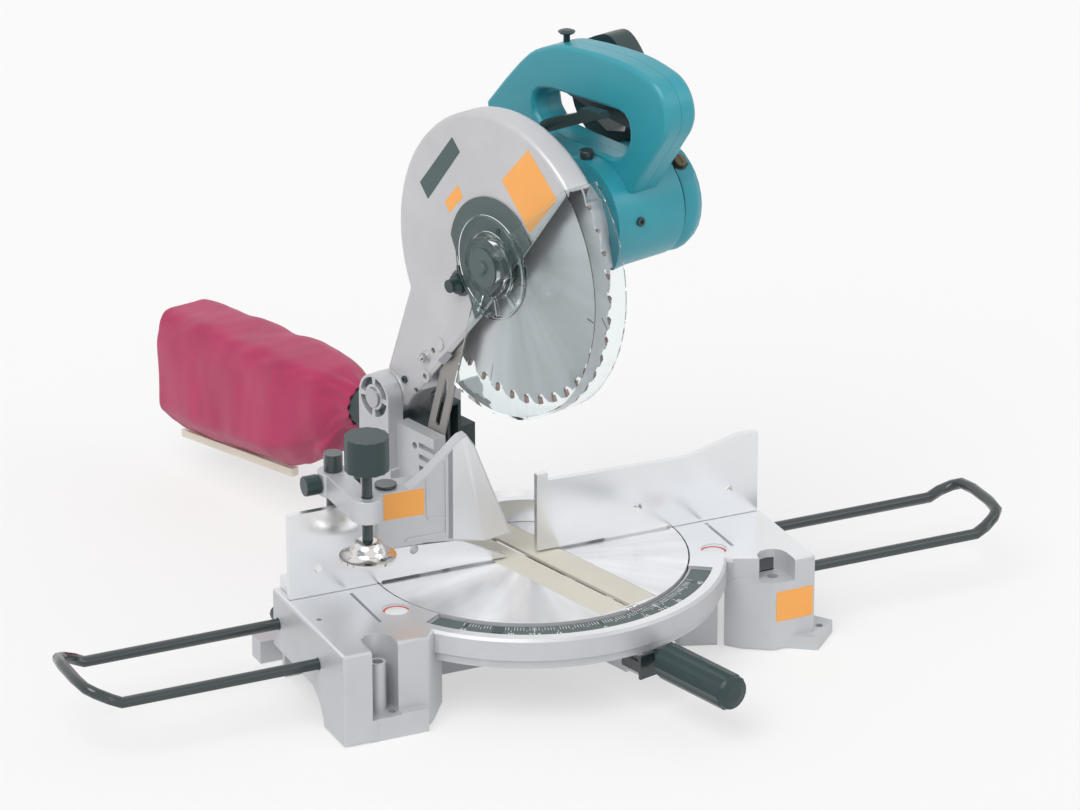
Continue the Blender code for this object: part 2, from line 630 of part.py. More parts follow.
# Sub-fence: a hinged wedge that continues the left fence up to the blade

SUB_BODY_LEFT = -0.143
SUB_BODY_RIGHT = -0.098
SUB_BODY_BOTTOM = PIN_BOSS_TOP + GAP
SUB_BODY_TOP = 0.170
SUB_BODY_BACK = 0.029
SUB_TIP = -0.0156
SUB_HIGH = 0.212
SUB_WEDGE_THICKNESS = 0.012
PIN_CAP_RADIUS = 0.010
PIN_CAP_HEIGHT = 0.003
SUB_WEDGE_BOTTOM = 0.088
sub_wedge_shares = ((0, 0.232), (0.354, 0.232), (0.573, 0.205), (0.802, 0.158), (1, 0.177), (0.726, 0.908),
                    (0.667, 1), (0.621, 0.984), (0.361, 0.742), (0.225, 0.655), (0, 0.650))


def sub_fence():
    wedge = spread(sub_wedge_shares, (SUB_BODY_LEFT, SUB_WEDGE_BOTTOM), (SUB_TIP, SUB_HIGH))
    body = box((SUB_BODY_LEFT, 0, SUB_BODY_BOTTOM), (SUB_BODY_RIGHT, SUB_BODY_BACK, SUB_BODY_TOP),
               GROOVE_DEPTH)
    chamfer_start = SUB_BODY_RIGHT + SUB_WEDGE_THICKNESS
    bevelled = ((chamfer_start, SUB_WEDGE_THICKNESS + OVERRUN), (SUB_TIP + OVERRUN, FENCE_THICKNESS / 2),
                (SUB_TIP + OVERRUN, SUB_WEDGE_THICKNESS + OVERRUN))
    steps = [
        add(body),
        cut(plate([bevelled], "TOP", TABLE_TOP, SUB_HIGH + OVERRUN)),
        cut(box((SUB_BODY_LEFT - OVERRUN, FENCE_THICKNESS / 3, TABLE_TOP), (SUB_TIP, SUB_BODY_BACK + OVERRUN,
                                                                          SUB_BODY_BOTTOM))),
        cut(rod("Z", (SUB_FENCE_X, SUB_FENCE_Y), PIN_RADIUS + GAP, TABLE_TOP, SUB_BODY_TOP + OVERRUN)),
    ]
    piece("sub_fence", sub_fence_axis, plate([wedge], "FRONT", 0, SUB_WEDGE_THICKNESS), CAST, steps)


def sub_fence_pin():
    top = SUB_BODY_TOP + GAP
    mesh = bolt("Z", (SUB_FENCE_X, SUB_FENCE_Y), PIN_RADIUS, PIN_CAP_RADIUS, PIN_BOTTOM + GAP, top,
                PIN_CAP_HEIGHT, steps=SMALL_STEPS)
    piece("sub_fence_pin", None, mesh, BLACK)


# Hold-down clamp: a rod in the fence, an arm on the rod, a screw with a foot

ARM_BOTTOM = 0.169
ARM_TOP = 0.190
ARM_BOSS_RADIUS = 0.014
ARM_HALF_WIDTH = 0.010
CLAMP_CAP_RADIUS = 0.0085
CLAMP_CAP_BOTTOM = 0.1905
CLAMP_CAP_TOP = 0.2065
SCREW_RADIUS = 0.0045
SCREW_BOTTOM = 0.1395
KNOB_BOTTOM = 0.216
KNOB_TOP = 0.247
KNOB_RADIUS = 0.01975
KNOB_RIBS = 14
FOOT_RADIUS = 0.025
FOOT_BOTTOM = 0.133
FOOT_RIM = 0.1365
FOOT_DOME = 0.0162
FOOT_SHOULDER = 0.0124
FOOT_SHOULDER_TOP = 0.1472
FOOT_CHEEK = 0.0155
FOOT_CHEEK_TOP = 0.1425
FOOT_TOP = 0.150
ARM_SCREW_RADIUS = 0.003
ARM_SCREW_KNOB = 0.009
ARM_SCREW_LENGTH = 0.014


def fluted(axis, centre, radius, ribs, low, high, depth):
    # A knob's outline with shallow flutes, made thick.
    outline = []
    for i in range(2 * ribs):
        r = radius if i % 2 else radius - depth
        a = math.pi * i / ribs
        outline.append((r * math.cos(a), r * math.sin(a)))
    mesh = plate([outline], "TOP", low, high)
    mesh.transform(along(axis, centre, 0) @ TURNS[axis])
    return mesh


def clamp():
    centre = (CLAMP_X, CLAMP_Y)
    shaft = ((0, CLAMP_CAP_TOP), (CLAMP_CAP_RADIUS, CLAMP_CAP_TOP), (CLAMP_CAP_RADIUS, CLAMP_CAP_BOTTOM),
             (CLAMP_ROD_RADIUS, CLAMP_CAP_BOTTOM), (CLAMP_ROD_RADIUS, CLAMP_ROD_BOTTOM + GAP),
             (0, CLAMP_ROD_BOTTOM + GAP))
    piece("vise_rod", None, turned(shaft, "Z", centre, steps=SMALL_STEPS), BLACK)
    screw_end = CLAMP_Y + CLAMP_ROD_RADIUS + GAP
    knob = CLAMP_BOSS_BACK + GAP
    mesh = turned(((0, knob + LOCK_KNOB_LENGTH), (LOCK_KNOB_RADIUS, knob + LOCK_KNOB_LENGTH),
                   (LOCK_KNOB_RADIUS, knob), (LOCK_SCREW_RADIUS, knob), (LOCK_SCREW_RADIUS, screw_end),
                   (0, screw_end)), "Y", (CLAMP_X, LOCK_SCREW_Z), steps=SMALL_STEPS)
    piece("vise_rod_lock_screw", None, mesh, BLACK)
    nose = (FOOT_X, FOOT_Y)
    arm = box((CLAMP_X - ARM_HALF_WIDTH, FOOT_Y, ARM_BOTTOM), (CLAMP_X + ARM_HALF_WIDTH, CLAMP_Y, ARM_TOP))
    side = CLAMP_X - ARM_BOSS_RADIUS
    piece("vise_arm", clamp_axis, rod("Z", centre, ARM_BOSS_RADIUS, ARM_BOTTOM, ARM_TOP), CAST, [
        add(arm),
        add(rod("Z", nose, ARM_BOSS_RADIUS, ARM_BOTTOM, ARM_TOP)),
        cut(rod("Z", centre, CLAMP_ROD_RADIUS + GAP, ARM_BOTTOM - OVERRUN, ARM_TOP + OVERRUN)),
        cut(rod("Z", nose, SCREW_RADIUS + GAP, ARM_BOTTOM - OVERRUN, ARM_TOP + OVERRUN)),
        cut(rod("X", (CLAMP_Y, (ARM_BOTTOM + ARM_TOP) / 2), ARM_SCREW_RADIUS + GAP, side - OVERRUN, CLAMP_X)),
    ])
    tip = CLAMP_X - CLAMP_ROD_RADIUS - GAP
    profile = ((0, tip), (ARM_SCREW_RADIUS, tip), (ARM_SCREW_RADIUS, side - GAP),
               (ARM_SCREW_KNOB, side - GAP),
               (ARM_SCREW_KNOB, side - ARM_SCREW_LENGTH), (0, side - ARM_SCREW_LENGTH))
    mesh = turned(profile, "X", (CLAMP_Y, (ARM_BOTTOM + ARM_TOP) / 2), steps=SMALL_STEPS)
    piece("vise_arm_screw", clamp_axis, mesh, BLACK)
    piece("vise_screw", foot_axis, rod("Z", nose, SCREW_RADIUS, SCREW_BOTTOM, KNOB_BOTTOM + OVERRUN), BLACK, [
        add(fluted("Z", nose, KNOB_RADIUS, KNOB_RIBS, KNOB_BOTTOM, KNOB_TOP, GROOVE_DEPTH)),
    ])
    foot = ((0, FOOT_TOP), (FOOT_DOME / 2, FOOT_TOP), (FOOT_SHOULDER, FOOT_SHOULDER_TOP),
            (FOOT_CHEEK, FOOT_CHEEK_TOP), (FOOT_DOME, FOOT_RIM),
            (FOOT_RADIUS, FOOT_RIM - GROOVE_DEPTH),
            (FOOT_RADIUS, FOOT_BOTTOM), (0, FOOT_BOTTOM))
    piece("vise_foot", foot_axis, turned(foot, "Z", nose), NICKEL, [
        cut(rod("Z", nose, SCREW_RADIUS + GAP, SCREW_BOTTOM - GAP, FOOT_TOP + OVERRUN)),
    ])


# Work holders: a bent rod on each side, which slides in the base

HOLDER_INNER = 0.165
HOLDER_STRAIGHT = 0.412
HOLDER_OUTER = 0.442
HOLDER_RISE = 0.015
HOLDER_LOCK_INSET = 0.009
HOLDER_LOCK_X = HALF_WIDTH - HOLDER_LOCK_INSET
HOLDER_LOCK_RADIUS = 0.0025
HOLDER_KNOB_RADIUS = 0.008


bend_shares = (0.35, 0.7, 0.92)


def holder(side, name, body):
    points = [(side * HOLDER_INNER, ROD_FRONT_Y, ROD_Z), (side * HOLDER_STRAIGHT, ROD_FRONT_Y, ROD_Z)]
    bend = HOLDER_OUTER - HOLDER_STRAIGHT
    for share in bend_shares:
        points.append((side * (HOLDER_STRAIGHT + share * bend), ROD_FRONT_Y + share ** 3 * bend / 2,
                       ROD_Z + share * HOLDER_RISE))
    points.append((side * HOLDER_OUTER, ROD_FRONT_Y + bend, ROD_Z + HOLDER_RISE))
    middle = (ROD_FRONT_Y + ROD_REAR_Y) / 2
    points += [(x, 2 * middle - y, z) for x, y, z in reversed(points)]
    piece(name, body, tube(points, ROD_RADIUS), BLACK)


def holder_lock(side, name):
    tip = ROD_REAR_Y + ROD_RADIUS + GAP
    seat = SIDE_REAR + GAP
    end = seat + HOLDER_KNOB_RADIUS
    profile = ((0, end), (HOLDER_KNOB_RADIUS, end), (HOLDER_KNOB_RADIUS, seat), (HOLDER_LOCK_RADIUS, seat),
               (HOLDER_LOCK_RADIUS, tip), (0, tip))
    mesh = turned(profile, "Y", (side * HOLDER_LOCK_X, ROD_Z), steps=SMALL_STEPS)
    piece(name, None, mesh, BLACK)


# Turntable with kerf boards, pointer, handle and lock lever

PLATE_BOTTOM = 0.074
SKIRT_BOTTOM = 0.066
SKIRT_WALL = 0.005
HUB_RADIUS = 0.034
HUB_BOTTOM = 0.030
COUNTERBORE = 0.013
HEAD_SEAT = 0.062
HEAD_RADIUS = 0.012
HEAD_TOP = 0.068
KERF_HALF = 0.0028
BOARD_HALF = 0.031
BOARD_FRONT = -0.137
BOARD_BACK = 0.075
BOARD_THICKNESS = 0.003
KERF_OPENING_HALF = 0.022
KERF_OPENING_FRONT = -0.128
KERF_OPENING_BACK = 0.060
KERF_OPENING_BOTTOM = 0.070
FRONT_ARM_BOTTOM = 0.030
FRONT_ARM_TOP = 0.050
FRONT_ARM_END = -0.146
BLOCK_HALF = 0.014
ARM_BLOCK_HALF = 0.0125
BLOCK_END = -0.172
BLOCK_BOTTOM = 0.034
BLOCK_TOP = 0.0565
REAR_ARM_HALF = 0.028
REAR_ARM_BOTTOM = 0.0565
BEVEL_BOSS_RADIUS = 0.029
BEVEL_BOSS_FRONT = 0.112
BEVEL_BOSS_BACK = 0.146
BEVEL_BOLT_RADIUS = 0.008
BEVEL_BOLT_START = 0.1253
BEVEL_NOTCH_BACK = 0.1385
BEVEL_NOTCH_TOP = 0.120


POINTER_HALF = 0.005
POINTER_BACK = -0.1390
POINTER_FRONT = -0.1500
POINTER_BOTTOM = 0.0845
POINTER_TOP = 0.0858


def turntable():
    floor = TABLE_TOP - BOARD_THICKNESS - GAP
    steps = [
        cut(rod("Z", (0, 0), TABLE_RADIUS - SKIRT_WALL, SKIRT_BOTTOM - OVERRUN, PLATE_BOTTOM,
                steps=2 * ROUND_STEPS)),
        add(rod("Z", (0, 0), HUB_RADIUS, HUB_BOTTOM, PLATE_BOTTOM + FINE, steps=ROUND_STEPS)),
        add(box((-ARM_BLOCK_HALF, FRONT_ARM_END - OVERRUN, FRONT_ARM_BOTTOM),
                (ARM_BLOCK_HALF, 0, FRONT_ARM_TOP))),
        add(box((-BLOCK_HALF, BLOCK_END, BLOCK_BOTTOM), (BLOCK_HALF, FRONT_ARM_END, BLOCK_TOP))),
        add(box((-REAR_ARM_HALF, BRIDGE_OUTER, REAR_ARM_BOTTOM), (REAR_ARM_HALF, BEVEL_BOSS_BACK,
                                                                  PLATE_BOTTOM))),
        add(rod("Y", (0, TABLE_TOP), BEVEL_BOSS_RADIUS, BEVEL_BOSS_FRONT, BEVEL_BOSS_BACK,
                steps=ROUND_STEPS)),
        cut(box((-BEVEL_BOSS_RADIUS, BEVEL_BOSS_FRONT - OVERRUN, TABLE_TOP), (BEVEL_BOSS_RADIUS,
                                                                            BEVEL_NOTCH_BACK,
                                                                            BEVEL_NOTCH_TOP))),
        cut(box((-KERF_OPENING_HALF, KERF_OPENING_FRONT, KERF_OPENING_BOTTOM), (KERF_OPENING_HALF,
                                                                               KERF_OPENING_BACK,
                                                                               TABLE_TOP))),
        cut(box((-BOARD_HALF - GAP, BOARD_FRONT - GAP, floor), (BOARD_HALF + GAP, BOARD_BACK + GAP,
                                                                TABLE_TOP + OVERRUN))),
        cut(box((-POINTER_HALF - GAP, -TABLE_RADIUS - OVERRUN, POINTER_BOTTOM - GAP),
                (POINTER_HALF + GAP, POINTER_BACK + GAP, TABLE_TOP + OVERRUN))),
        cut(rod("Z", (0, 0), BOLT_RADIUS + GAP, HUB_BOTTOM - OVERRUN, HEAD_SEAT + OVERRUN)),
        cut(rod("Z", (0, 0), COUNTERBORE, HEAD_SEAT, KERF_OPENING_BOTTOM + OVERRUN)),
        cut(rod("Y", (0, TABLE_TOP), BEVEL_BOLT_RADIUS + GAP, BEVEL_BOLT_START - GAP,
                BEVEL_BOSS_BACK + OVERRUN)),
        cut(rod("Y", (0, GRIP_Z), SHAFT_RADIUS + GAP, BLOCK_END - OVERRUN, SHAFT_END)),
    ]
    piece("turntable", turntable_axis, rod("Z", (0, 0), TABLE_RADIUS, SKIRT_BOTTOM, TABLE_TOP,
                                           steps=2 * ROUND_STEPS), MACHINED, steps)


def kerf_boards():
    low = TABLE_TOP - BOARD_THICKNESS
    for word, left, right in (("left", -BOARD_HALF, -KERF_HALF), ("right", KERF_HALF, BOARD_HALF)):
        rim = rod("Z", (0, 0), TABLE_RADIUS - SKIRT_WALL / 2, low - OVERRUN, TABLE_TOP + OVERRUN,
                  steps=2 * ROUND_STEPS)
        board = box((left, BOARD_FRONT, low), (right, BOARD_BACK, TABLE_TOP))
        piece(f"kerf_board_{word}", turntable_axis, board, BOARD, [keep(rim)])


def mitre_pointer():
    mesh = box((-POINTER_HALF, POINTER_FRONT, POINTER_BOTTOM), (POINTER_HALF, POINTER_BACK, POINTER_TOP))
    piece("mitre_pointer", turntable_axis, mesh, CLEAR)


def mitre_pivot_bolt():
    mesh = bolt("Z", (0, 0), BOLT_RADIUS, HEAD_RADIUS, BOLT_START + GAP, HEAD_SEAT + GAP,
                HEAD_TOP - HEAD_SEAT, steps=SMALL_STEPS)
    piece("mitre_pivot_bolt", None, mesh, STEEL)


SHAFT_RADIUS = 0.0045
SHAFT_END = -0.150
GRIP_START = -0.189
GRIP_END = -0.276
GRIP_RADIUS = 0.0165
GRIP_NECK = 0.0145
GRIP_DOME = 0.005
GRIP_FLUTES = 12
BRACKET_LEFT = -0.019
BRACKET_FRONT = -0.1753
BRACKET_THICKNESS = 0.0027
BRACKET_BACK = -0.150
BRACKET_BOTTOM = 0.034
BRACKET_TOP = 0.056
BRACKET_RAIL = (0.040, 0.050)
LEVER_HUB_RADIUS = 0.002
LEVER_PIN_RADIUS = 0.0014
LEVER_FRONT = -0.1675
LEVER_BACK = -0.150
LEVER_TIP = 0.026
LEVER_HALF = 0.0013


def mitre_grip():
    outline = [(GRIP_RADIUS - GROOVE_DEPTH * (i % 2), math.radians(180 / GRIP_FLUTES * i))
               for i in range(2 * GRIP_FLUTES)]
    points = [(r * math.cos(a), GRIP_Z + r * math.sin(a)) for r, a in outline]
    mesh = plate([points], "FRONT", GRIP_END + GRIP_DOME, GRIP_START)
    end = GRIP_END + GRIP_DOME
    dome = ((0, end + FINE), (GRIP_RADIUS - GROOVE_DEPTH, end + FINE), (GRIP_NECK, GRIP_END + GRIP_DOME / 3),
            (GRIP_NECK / 2, GRIP_END), (0, GRIP_END))
    shaft = rod("Y", (0, GRIP_Z), SHAFT_RADIUS, GRIP_START - OVERRUN, SHAFT_END - GAP)
    piece("mitre_grip", grip_axis, mesh, BLACK, [
        add(turned(dome, "Y", (0, GRIP_Z), steps=2 * GRIP_FLUTES)),
        add(shaft),
    ])


def lever_bracket():
    # The plate in front of the block, with a rail back along its left side.
    back = BRACKET_FRONT + BRACKET_THICKNESS
    front = box((BRACKET_LEFT, BRACKET_FRONT, BRACKET_BOTTOM), (-BRACKET_LEFT, back, BRACKET_TOP))
    rail = box((BRACKET_LEFT, back - GAP, BRACKET_RAIL[0]), (BRACKET_LEFT + BRACKET_THICKNESS, BRACKET_BACK,
                                                             BRACKET_RAIL[1]))
    piece("lever_bracket", turntable_axis, front, BLACK, [
        add(rail),
        cut(rod("Y", (0, GRIP_Z), SHAFT_RADIUS + 2 * GAP, BRACKET_FRONT - OVERRUN, back + OVERRUN)),
        cut(rod("Y", (LEVER_X, LEVER_Z), LEVER_PIN_RADIUS + GAP, BRACKET_FRONT - OVERRUN, back + OVERRUN,
                steps=12)),
    ])


def mitre_lock_lever():
    # A thumb plate beside the block, on a pin in the bracket.
    mesh = rod("Y", (LEVER_X, LEVER_Z), LEVER_HUB_RADIUS, LEVER_FRONT, LEVER_BACK, steps=12)
    thumb = box((LEVER_X, LEVER_FRONT, LEVER_Z - LEVER_HALF), (LEVER_TIP, LEVER_BACK, LEVER_Z + LEVER_HALF))
    piece("mitre_lock_lever", lever_axis, mesh, BLACK, [
        add(thumb),
        add(rod("Y", (LEVER_X, LEVER_Z), LEVER_PIN_RADIUS, BRACKET_FRONT + GAP, LEVER_FRONT + OVERRUN,
                steps=12)),
    ])


# Bevel arm: tilts on the turntable's rear boss and carries the head's pivot between two ears

EAR_LEFT_OUT = -0.037
EAR_LEFT_IN = -0.020
EAR_RIGHT_IN = 0.030
EAR_RIGHT_OUT = 0.047
EAR_RADIUS = 0.021
LOBE_RIGHT = 0.008
ARM_FRONT = 0.1465
ARM_BACK = 0.192
ARM_LOW = 0.058
ARM_SHOULDER = 0.128
PIVOT_RADIUS = 0.00875
PIVOT_CAP = 0.002
EAR_BOSS = 0.0118
EAR_WINDOW = 0.0186
EAR_RECESS = 0.006
STOP_BLOCK_X = -0.027
STOP_BLOCK_INNER = -0.0135
STOP_BLOCK_FRONT = 0.097
STOP_BLOCK_BACK = 0.1500
STOP_BLOCK_BOTTOM = 0.118
STOP_BLOCK_TOP = 0.172
FIN_DEPTH = 0.004
FIN_HALF = 0.0025
SHELF_LOW = 0.1153
FIN_FIRST = 0.012
FIN_PITCH = 0.011
COLLAR_LEFT = -0.0100
COLLAR_RIGHT = 0.0295
COLLAR_FRONT = 0.108
COLLAR_BOTTOM = 0.1285
COLLAR_TOP = 0.1700
CHUTE_LEFT = -0.0085
CHUTE_RIGHT = 0.0065
CHUTE_FRONT = 0.100
CHUTE_BACK = 0.124
CHUTE_TOP = 0.200
NOZZLE_X = 0.008
NOZZLE_Z = 0.150
NOZZLE_RADIUS = 0.0195
NOZZLE_BORE = 0.0155
NOZZLE_END = 0.252
BAG_HALF = 0.040
BAG_START = 0.236
BAG_END = 0.513
BAG_WALL = 0.003
BAG_LOW = 0.033
BAG_TOP = 0.180
BAG_ROUNDING = 0.012
RAIL_HALF = 0.004
STOP_SCREW_RADIUS = 0.003
STOP_SCREW_Z = 0.1575
STOP_SCREW_Y = 0.124
BEVEL_LEVER_RADIUS = 0.005
BEVEL_LEVER_LENGTH = 0.060

bag_shares = ((0, 0.56), (0, 0.98), (0.05, 1), (1, 0.905), (1, 0), (0.985, 0), (0.40, 0.11), (0.1, 0.40))


def bevel_arm():
    middle = (PIVOT_Y, PIVOT_Z)
    steps = [add(box((EAR_LEFT_OUT, ARM_FRONT, ARM_LOW), (EAR_RIGHT_OUT, ARM_BACK - GROOVE_DEPTH,
                                                          ARM_SHOULDER),
                     GROOVE_DEPTH))]
    for low, high in ((EAR_LEFT_OUT, EAR_LEFT_IN), (EAR_RIGHT_IN, EAR_RIGHT_OUT)):
        inset = GAP * 2
        steps.append(add(rod("X", middle, EAR_RADIUS, low + inset, high - inset, steps=ROUND_STEPS)))
    right = box((EAR_RIGHT_IN, PIVOT_Y - EAR_RADIUS, ARM_SHOULDER - WALL),
                (EAR_RIGHT_OUT - GAP, PIVOT_Y + EAR_RADIUS, PIVOT_Z))
    steps.append(add(right))
    steps.append(add(box((STOP_BLOCK_X, STOP_BLOCK_FRONT, STOP_BLOCK_BOTTOM), (STOP_BLOCK_INNER,
                                                                             STOP_BLOCK_BACK,
                                                                             STOP_BLOCK_TOP))))
    steps.append(add(box((STOP_BLOCK_X + GROOVE_DEPTH, STOP_BLOCK_FRONT + GROOVE_DEPTH, SHELF_LOW),
                         (COLLAR_RIGHT, ARM_FRONT + WALL, COLLAR_BOTTOM - GAP))))
    for i in range(3):
        z = STOP_BLOCK_TOP - FIN_FIRST - FIN_PITCH * i
        steps.append(cut(box((STOP_BLOCK_X - OVERRUN, STOP_BLOCK_FRONT - OVERRUN, z - FIN_HALF),
                             (STOP_BLOCK_X + FIN_DEPTH, STOP_SCREW_Y - STOP_SCREW_RADIUS - OVERRUN,
                              z + FIN_HALF))))
    # Blind windows round the pivot's boss on the left ear
    for start in (8, 98, 188, 278):
        steps.append(cut(ring("X", middle, EAR_BOSS, EAR_WINDOW, EAR_LEFT_OUT - OVERRUN,
                              EAR_LEFT_OUT + EAR_RECESS, start, 74, 7)))
    steps.append(cut(rod("X", middle, PIVOT_RADIUS + GAP, EAR_LEFT_OUT - OVERRUN, EAR_RIGHT_OUT + OVERRUN,
                         steps=24)))
    steps.append(cut(rod("X", (STOP_SCREW_Y, STOP_SCREW_Z), STOP_SCREW_RADIUS + GAP, STOP_BLOCK_X - OVERRUN,
                         STOP_BLOCK_INNER - OVERRUN)))
    steps.append(cut(rod("X", (LINK_Y, LINK_Z), LINK_PIN_RADIUS + GAP, STOP_BLOCK_X + OVERRUN,
                         STOP_BLOCK_INNER + OVERRUN)))
    steps.append(cut(rod("Y", (0, TABLE_TOP), BEVEL_BOLT_RADIUS + GAP, ARM_FRONT - OVERRUN,
                         ARM_BACK + OVERRUN)))
    left = box((EAR_LEFT_OUT + GAP, PIVOT_Y - EAR_RADIUS, ARM_SHOULDER - WALL),
               (EAR_LEFT_IN, PIVOT_Y + EAR_RADIUS, PIVOT_Z))
    piece("bevel_arm", bevel_axis, left, CAST, steps)


def bevel_fasteners():
    stud = rod("Y", (0, TABLE_TOP), BEVEL_BOLT_RADIUS, BEVEL_BOLT_START, ARM_BACK + WALL)
    piece("bevel_pivot_bolt", turntable_axis, stud, STEEL)


def bevel_lock_lever():
    # The nut and lever behind the arm that clamp the tilt.
    seat = ARM_BACK + GAP
    nut = ring("Y", (0, TABLE_TOP), BEVEL_BOLT_RADIUS + GAP, EAR_BOSS, seat, seat + 2 * WALL,
               steps=SMALL_STEPS)
    handle = rod("Z", (0, seat + WALL), BEVEL_LEVER_RADIUS, TABLE_TOP + BEVEL_BOLT_RADIUS + OVERRUN,
                 TABLE_TOP + BEVEL_LEVER_LENGTH)
    turn = Matrix.Rotation(math.radians(-70), 4, "Y")
    slanted(handle, turn, (0, 0, TABLE_TOP))
    piece("bevel_lock_lever", bevel_lever_axis, nut, BLACK, [add(handle)])


def head_pivot_rod():
    profile_end = EAR_RIGHT_OUT + PIVOT_CAP
    mesh = rod("X", (PIVOT_Y, PIVOT_Z), PIVOT_RADIUS, EAR_LEFT_OUT - PIVOT_CAP, profile_end, steps=24)
    piece("head_pivot_rod", bevel_axis, mesh, STEEL)


SPRING_TURNS = 5
SPRING_RADIUS = 0.0125
SPRING_WIRE = 0.0015
SPRING_POINTS = 10


def return_spring():
    # The torsion spring round the pivot, between the head's lobe and the right ear.
    low = LOBE_RIGHT + SPRING_WIRE + GAP
    high = EAR_RIGHT_IN - SPRING_WIRE - GAP
    count = SPRING_TURNS * SPRING_POINTS
    side = PIVOT_Y + SPRING_RADIUS
    points = [(low, side, PIVOT_Z - 2 * SPRING_WIRE)]
    for i in range(count + 1):
        a = 2 * math.pi * i / SPRING_POINTS
        points.append((low + (high - low) * i / count, PIVOT_Y + SPRING_RADIUS * math.cos(a),
                       PIVOT_Z + SPRING_RADIUS * math.sin(a)))
    points.append((high, side, PIVOT_Z + 2 * SPRING_WIRE))
    centres = [Vector(point) for point in points]
    least = min((first - second).length for i, first in enumerate(centres)
                for second in centres[i + SPRING_POINTS // 2:]) - 2 * SPRING_WIRE
    print("return spring: least gap to itself", round(least * 1000, 2), "mm")
    piece("return_spring", bevel_axis, tube(points, SPRING_WIRE, sides=1), STEEL)


def dust_parts():
    front = [add(box((CHUTE_LEFT, CHUTE_FRONT, COLLAR_BOTTOM + GAP), (CHUTE_RIGHT, CHUTE_BACK, CHUTE_TOP))),
             cut(box((CHUTE_LEFT + BAG_WALL, CHUTE_FRONT - OVERRUN, COLLAR_BOTTOM + BAG_WALL),
                     (CHUTE_RIGHT - BAG_WALL, CHUTE_BACK - BAG_WALL, CHUTE_TOP - BAG_WALL)))]
    front.append(add(rod("Y", (NOZZLE_X, NOZZLE_Z), NOZZLE_RADIUS, ARM_FRONT - OVERRUN, NOZZLE_END)))
    front.append(cut(rod("Y", (NOZZLE_X, NOZZLE_Z), NOZZLE_BORE, CHUTE_FRONT + BAG_WALL,
                         NOZZLE_END + OVERRUN)))
    collar = box((COLLAR_LEFT, COLLAR_FRONT, COLLAR_BOTTOM), (COLLAR_RIGHT, ARM_FRONT, COLLAR_TOP))
    piece("dust_chute", bevel_axis, collar, BLACK, front)


def dust_bag():
    # The filled bag's outer shape, with its neck round the nozzle.
    outline = spread(bag_shares, (BAG_START, BAG_LOW), (BAG_END, BAG_TOP))
    low = NOZZLE_X - BAG_HALF
    high = NOZZLE_X + BAG_HALF
    cover = NOZZLE_RADIUS + GAP
    piece("dust_bag", bevel_axis, plate([outline], "SIDE", low, high, rounding=BAG_ROUNDING), CRIMSON, [
        cut(rod("Y", (NOZZLE_X, NOZZLE_Z), cover, BAG_START - OVERRUN, NOZZLE_END + 2 * OVERRUN)),
        cut(plate([spread(rail_room_shares, (BAG_RAIL_START, BAG_LOW), (BAG_END, BAG_TOP))], "SIDE",
                  NOZZLE_X - RAIL_HALF - GAP, NOZZLE_X + RAIL_HALF + GAP)),
    ])


BAG_RAIL_START = 0.345
rail_room_shares = ((-0.1, 0.14), (1.05, 0.02), (1.05, -0.2), (-0.1, -0.2))
rail_slot_shares = ((0, 0.1255), (1, 0.0155), (1, -0.035), (0, 0.07))


def dust_bag_rail():
    outline = spread(rail_slot_shares, (BAG_RAIL_START, BAG_LOW), (BAG_END + BAG_WALL, BAG_TOP))
    mesh = plate([outline], "SIDE", NOZZLE_X - RAIL_HALF, NOZZLE_X + RAIL_HALF)
    piece("dust_bag_rail", bevel_axis, mesh, CREAM)


LINK_PIN_RADIUS = 0.003
LINK_LEFT = -0.0125
LINK_RIGHT = -0.0105
LINK_HALF = 0.011
LINK_LENGTH = 0.150
LINK_LEAN = 17
LINK_SLOT_HALF = 0.003


def guard_link():
    # The plate that turns the guard as the head goes down.
    end = LINK_Z + LINK_LENGTH
    outline = arc((LINK_Y, LINK_Z), LINK_HALF, 180, 360, 8) + arc((LINK_Y, end), LINK_HALF, 0, 180, 8)
    slot_low = LINK_Z + LINK_LENGTH / 5
    slot_high = LINK_Z + LINK_LENGTH / 2
    slot = arc((LINK_Y, slot_low), LINK_SLOT_HALF, 180, 360, 6) + arc((LINK_Y, slot_high), LINK_SLOT_HALF,
                                                                      0, 180, 6)
    mesh = plate([outline, slot], "SIDE", LINK_LEFT, LINK_RIGHT)
    turn = Matrix.Rotation(math.radians(LINK_LEAN), 4, "X")
    pin = rod("X", (LINK_Y, LINK_Z), LINK_PIN_RADIUS, STOP_BLOCK_X + OVERRUN + GAP, LINK_RIGHT - FINE)
    slanted(mesh, turn, (0, LINK_Y, LINK_Z))
    piece("guard_link", link_axis, mesh, BROWN, [add(pin)])


# Head: blade case with the pivot lobe, covers, gear housing, motor and handle

CASE_OUTER = 0.1345
CASE_INNER = 0.1318
CASE_LEFT = -0.017
CASE_RIGHT = 0.011
CASE_SKIN = 0.0025
LOBE_RADIUS = 0.0205
LOBE_LEFT = -0.0195
CASE_ROUNDING = 0.005
COVER_LEFT = -0.0193
COVER_RADIUS = 0.060
COVER_FRONT_ANGLE = 146.5
COVER_REAR_ANGLE = 10
COVER_POINT = (0.0473, 0.3011)
COVER_EAR_Y = 0.069
COVER_EAR_Z = 0.328
COVER_EAR_RADIUS = 0.012
HUB_BOSS_RADIUS = 0.016
HUB_BOSS_END = -0.030
WASHER_RADIUS = 0.0175
WASHER_THICKNESS = 0.002
CASE_START_ANGLE = 136
WAIST_ANGLE = -26
OPEN_B = (-0.031, 0.397)
OPEN_D = (0.042, 0.303)
OPEN_E = (0.130, 0.205)
OPEN_F = (0.139, 0.197)
LOBE_FRONT = (0.152, 0.180)
NECK_REAR = (0.1765, 0.2115)
NECK_INNER = (0.148, 0.228)


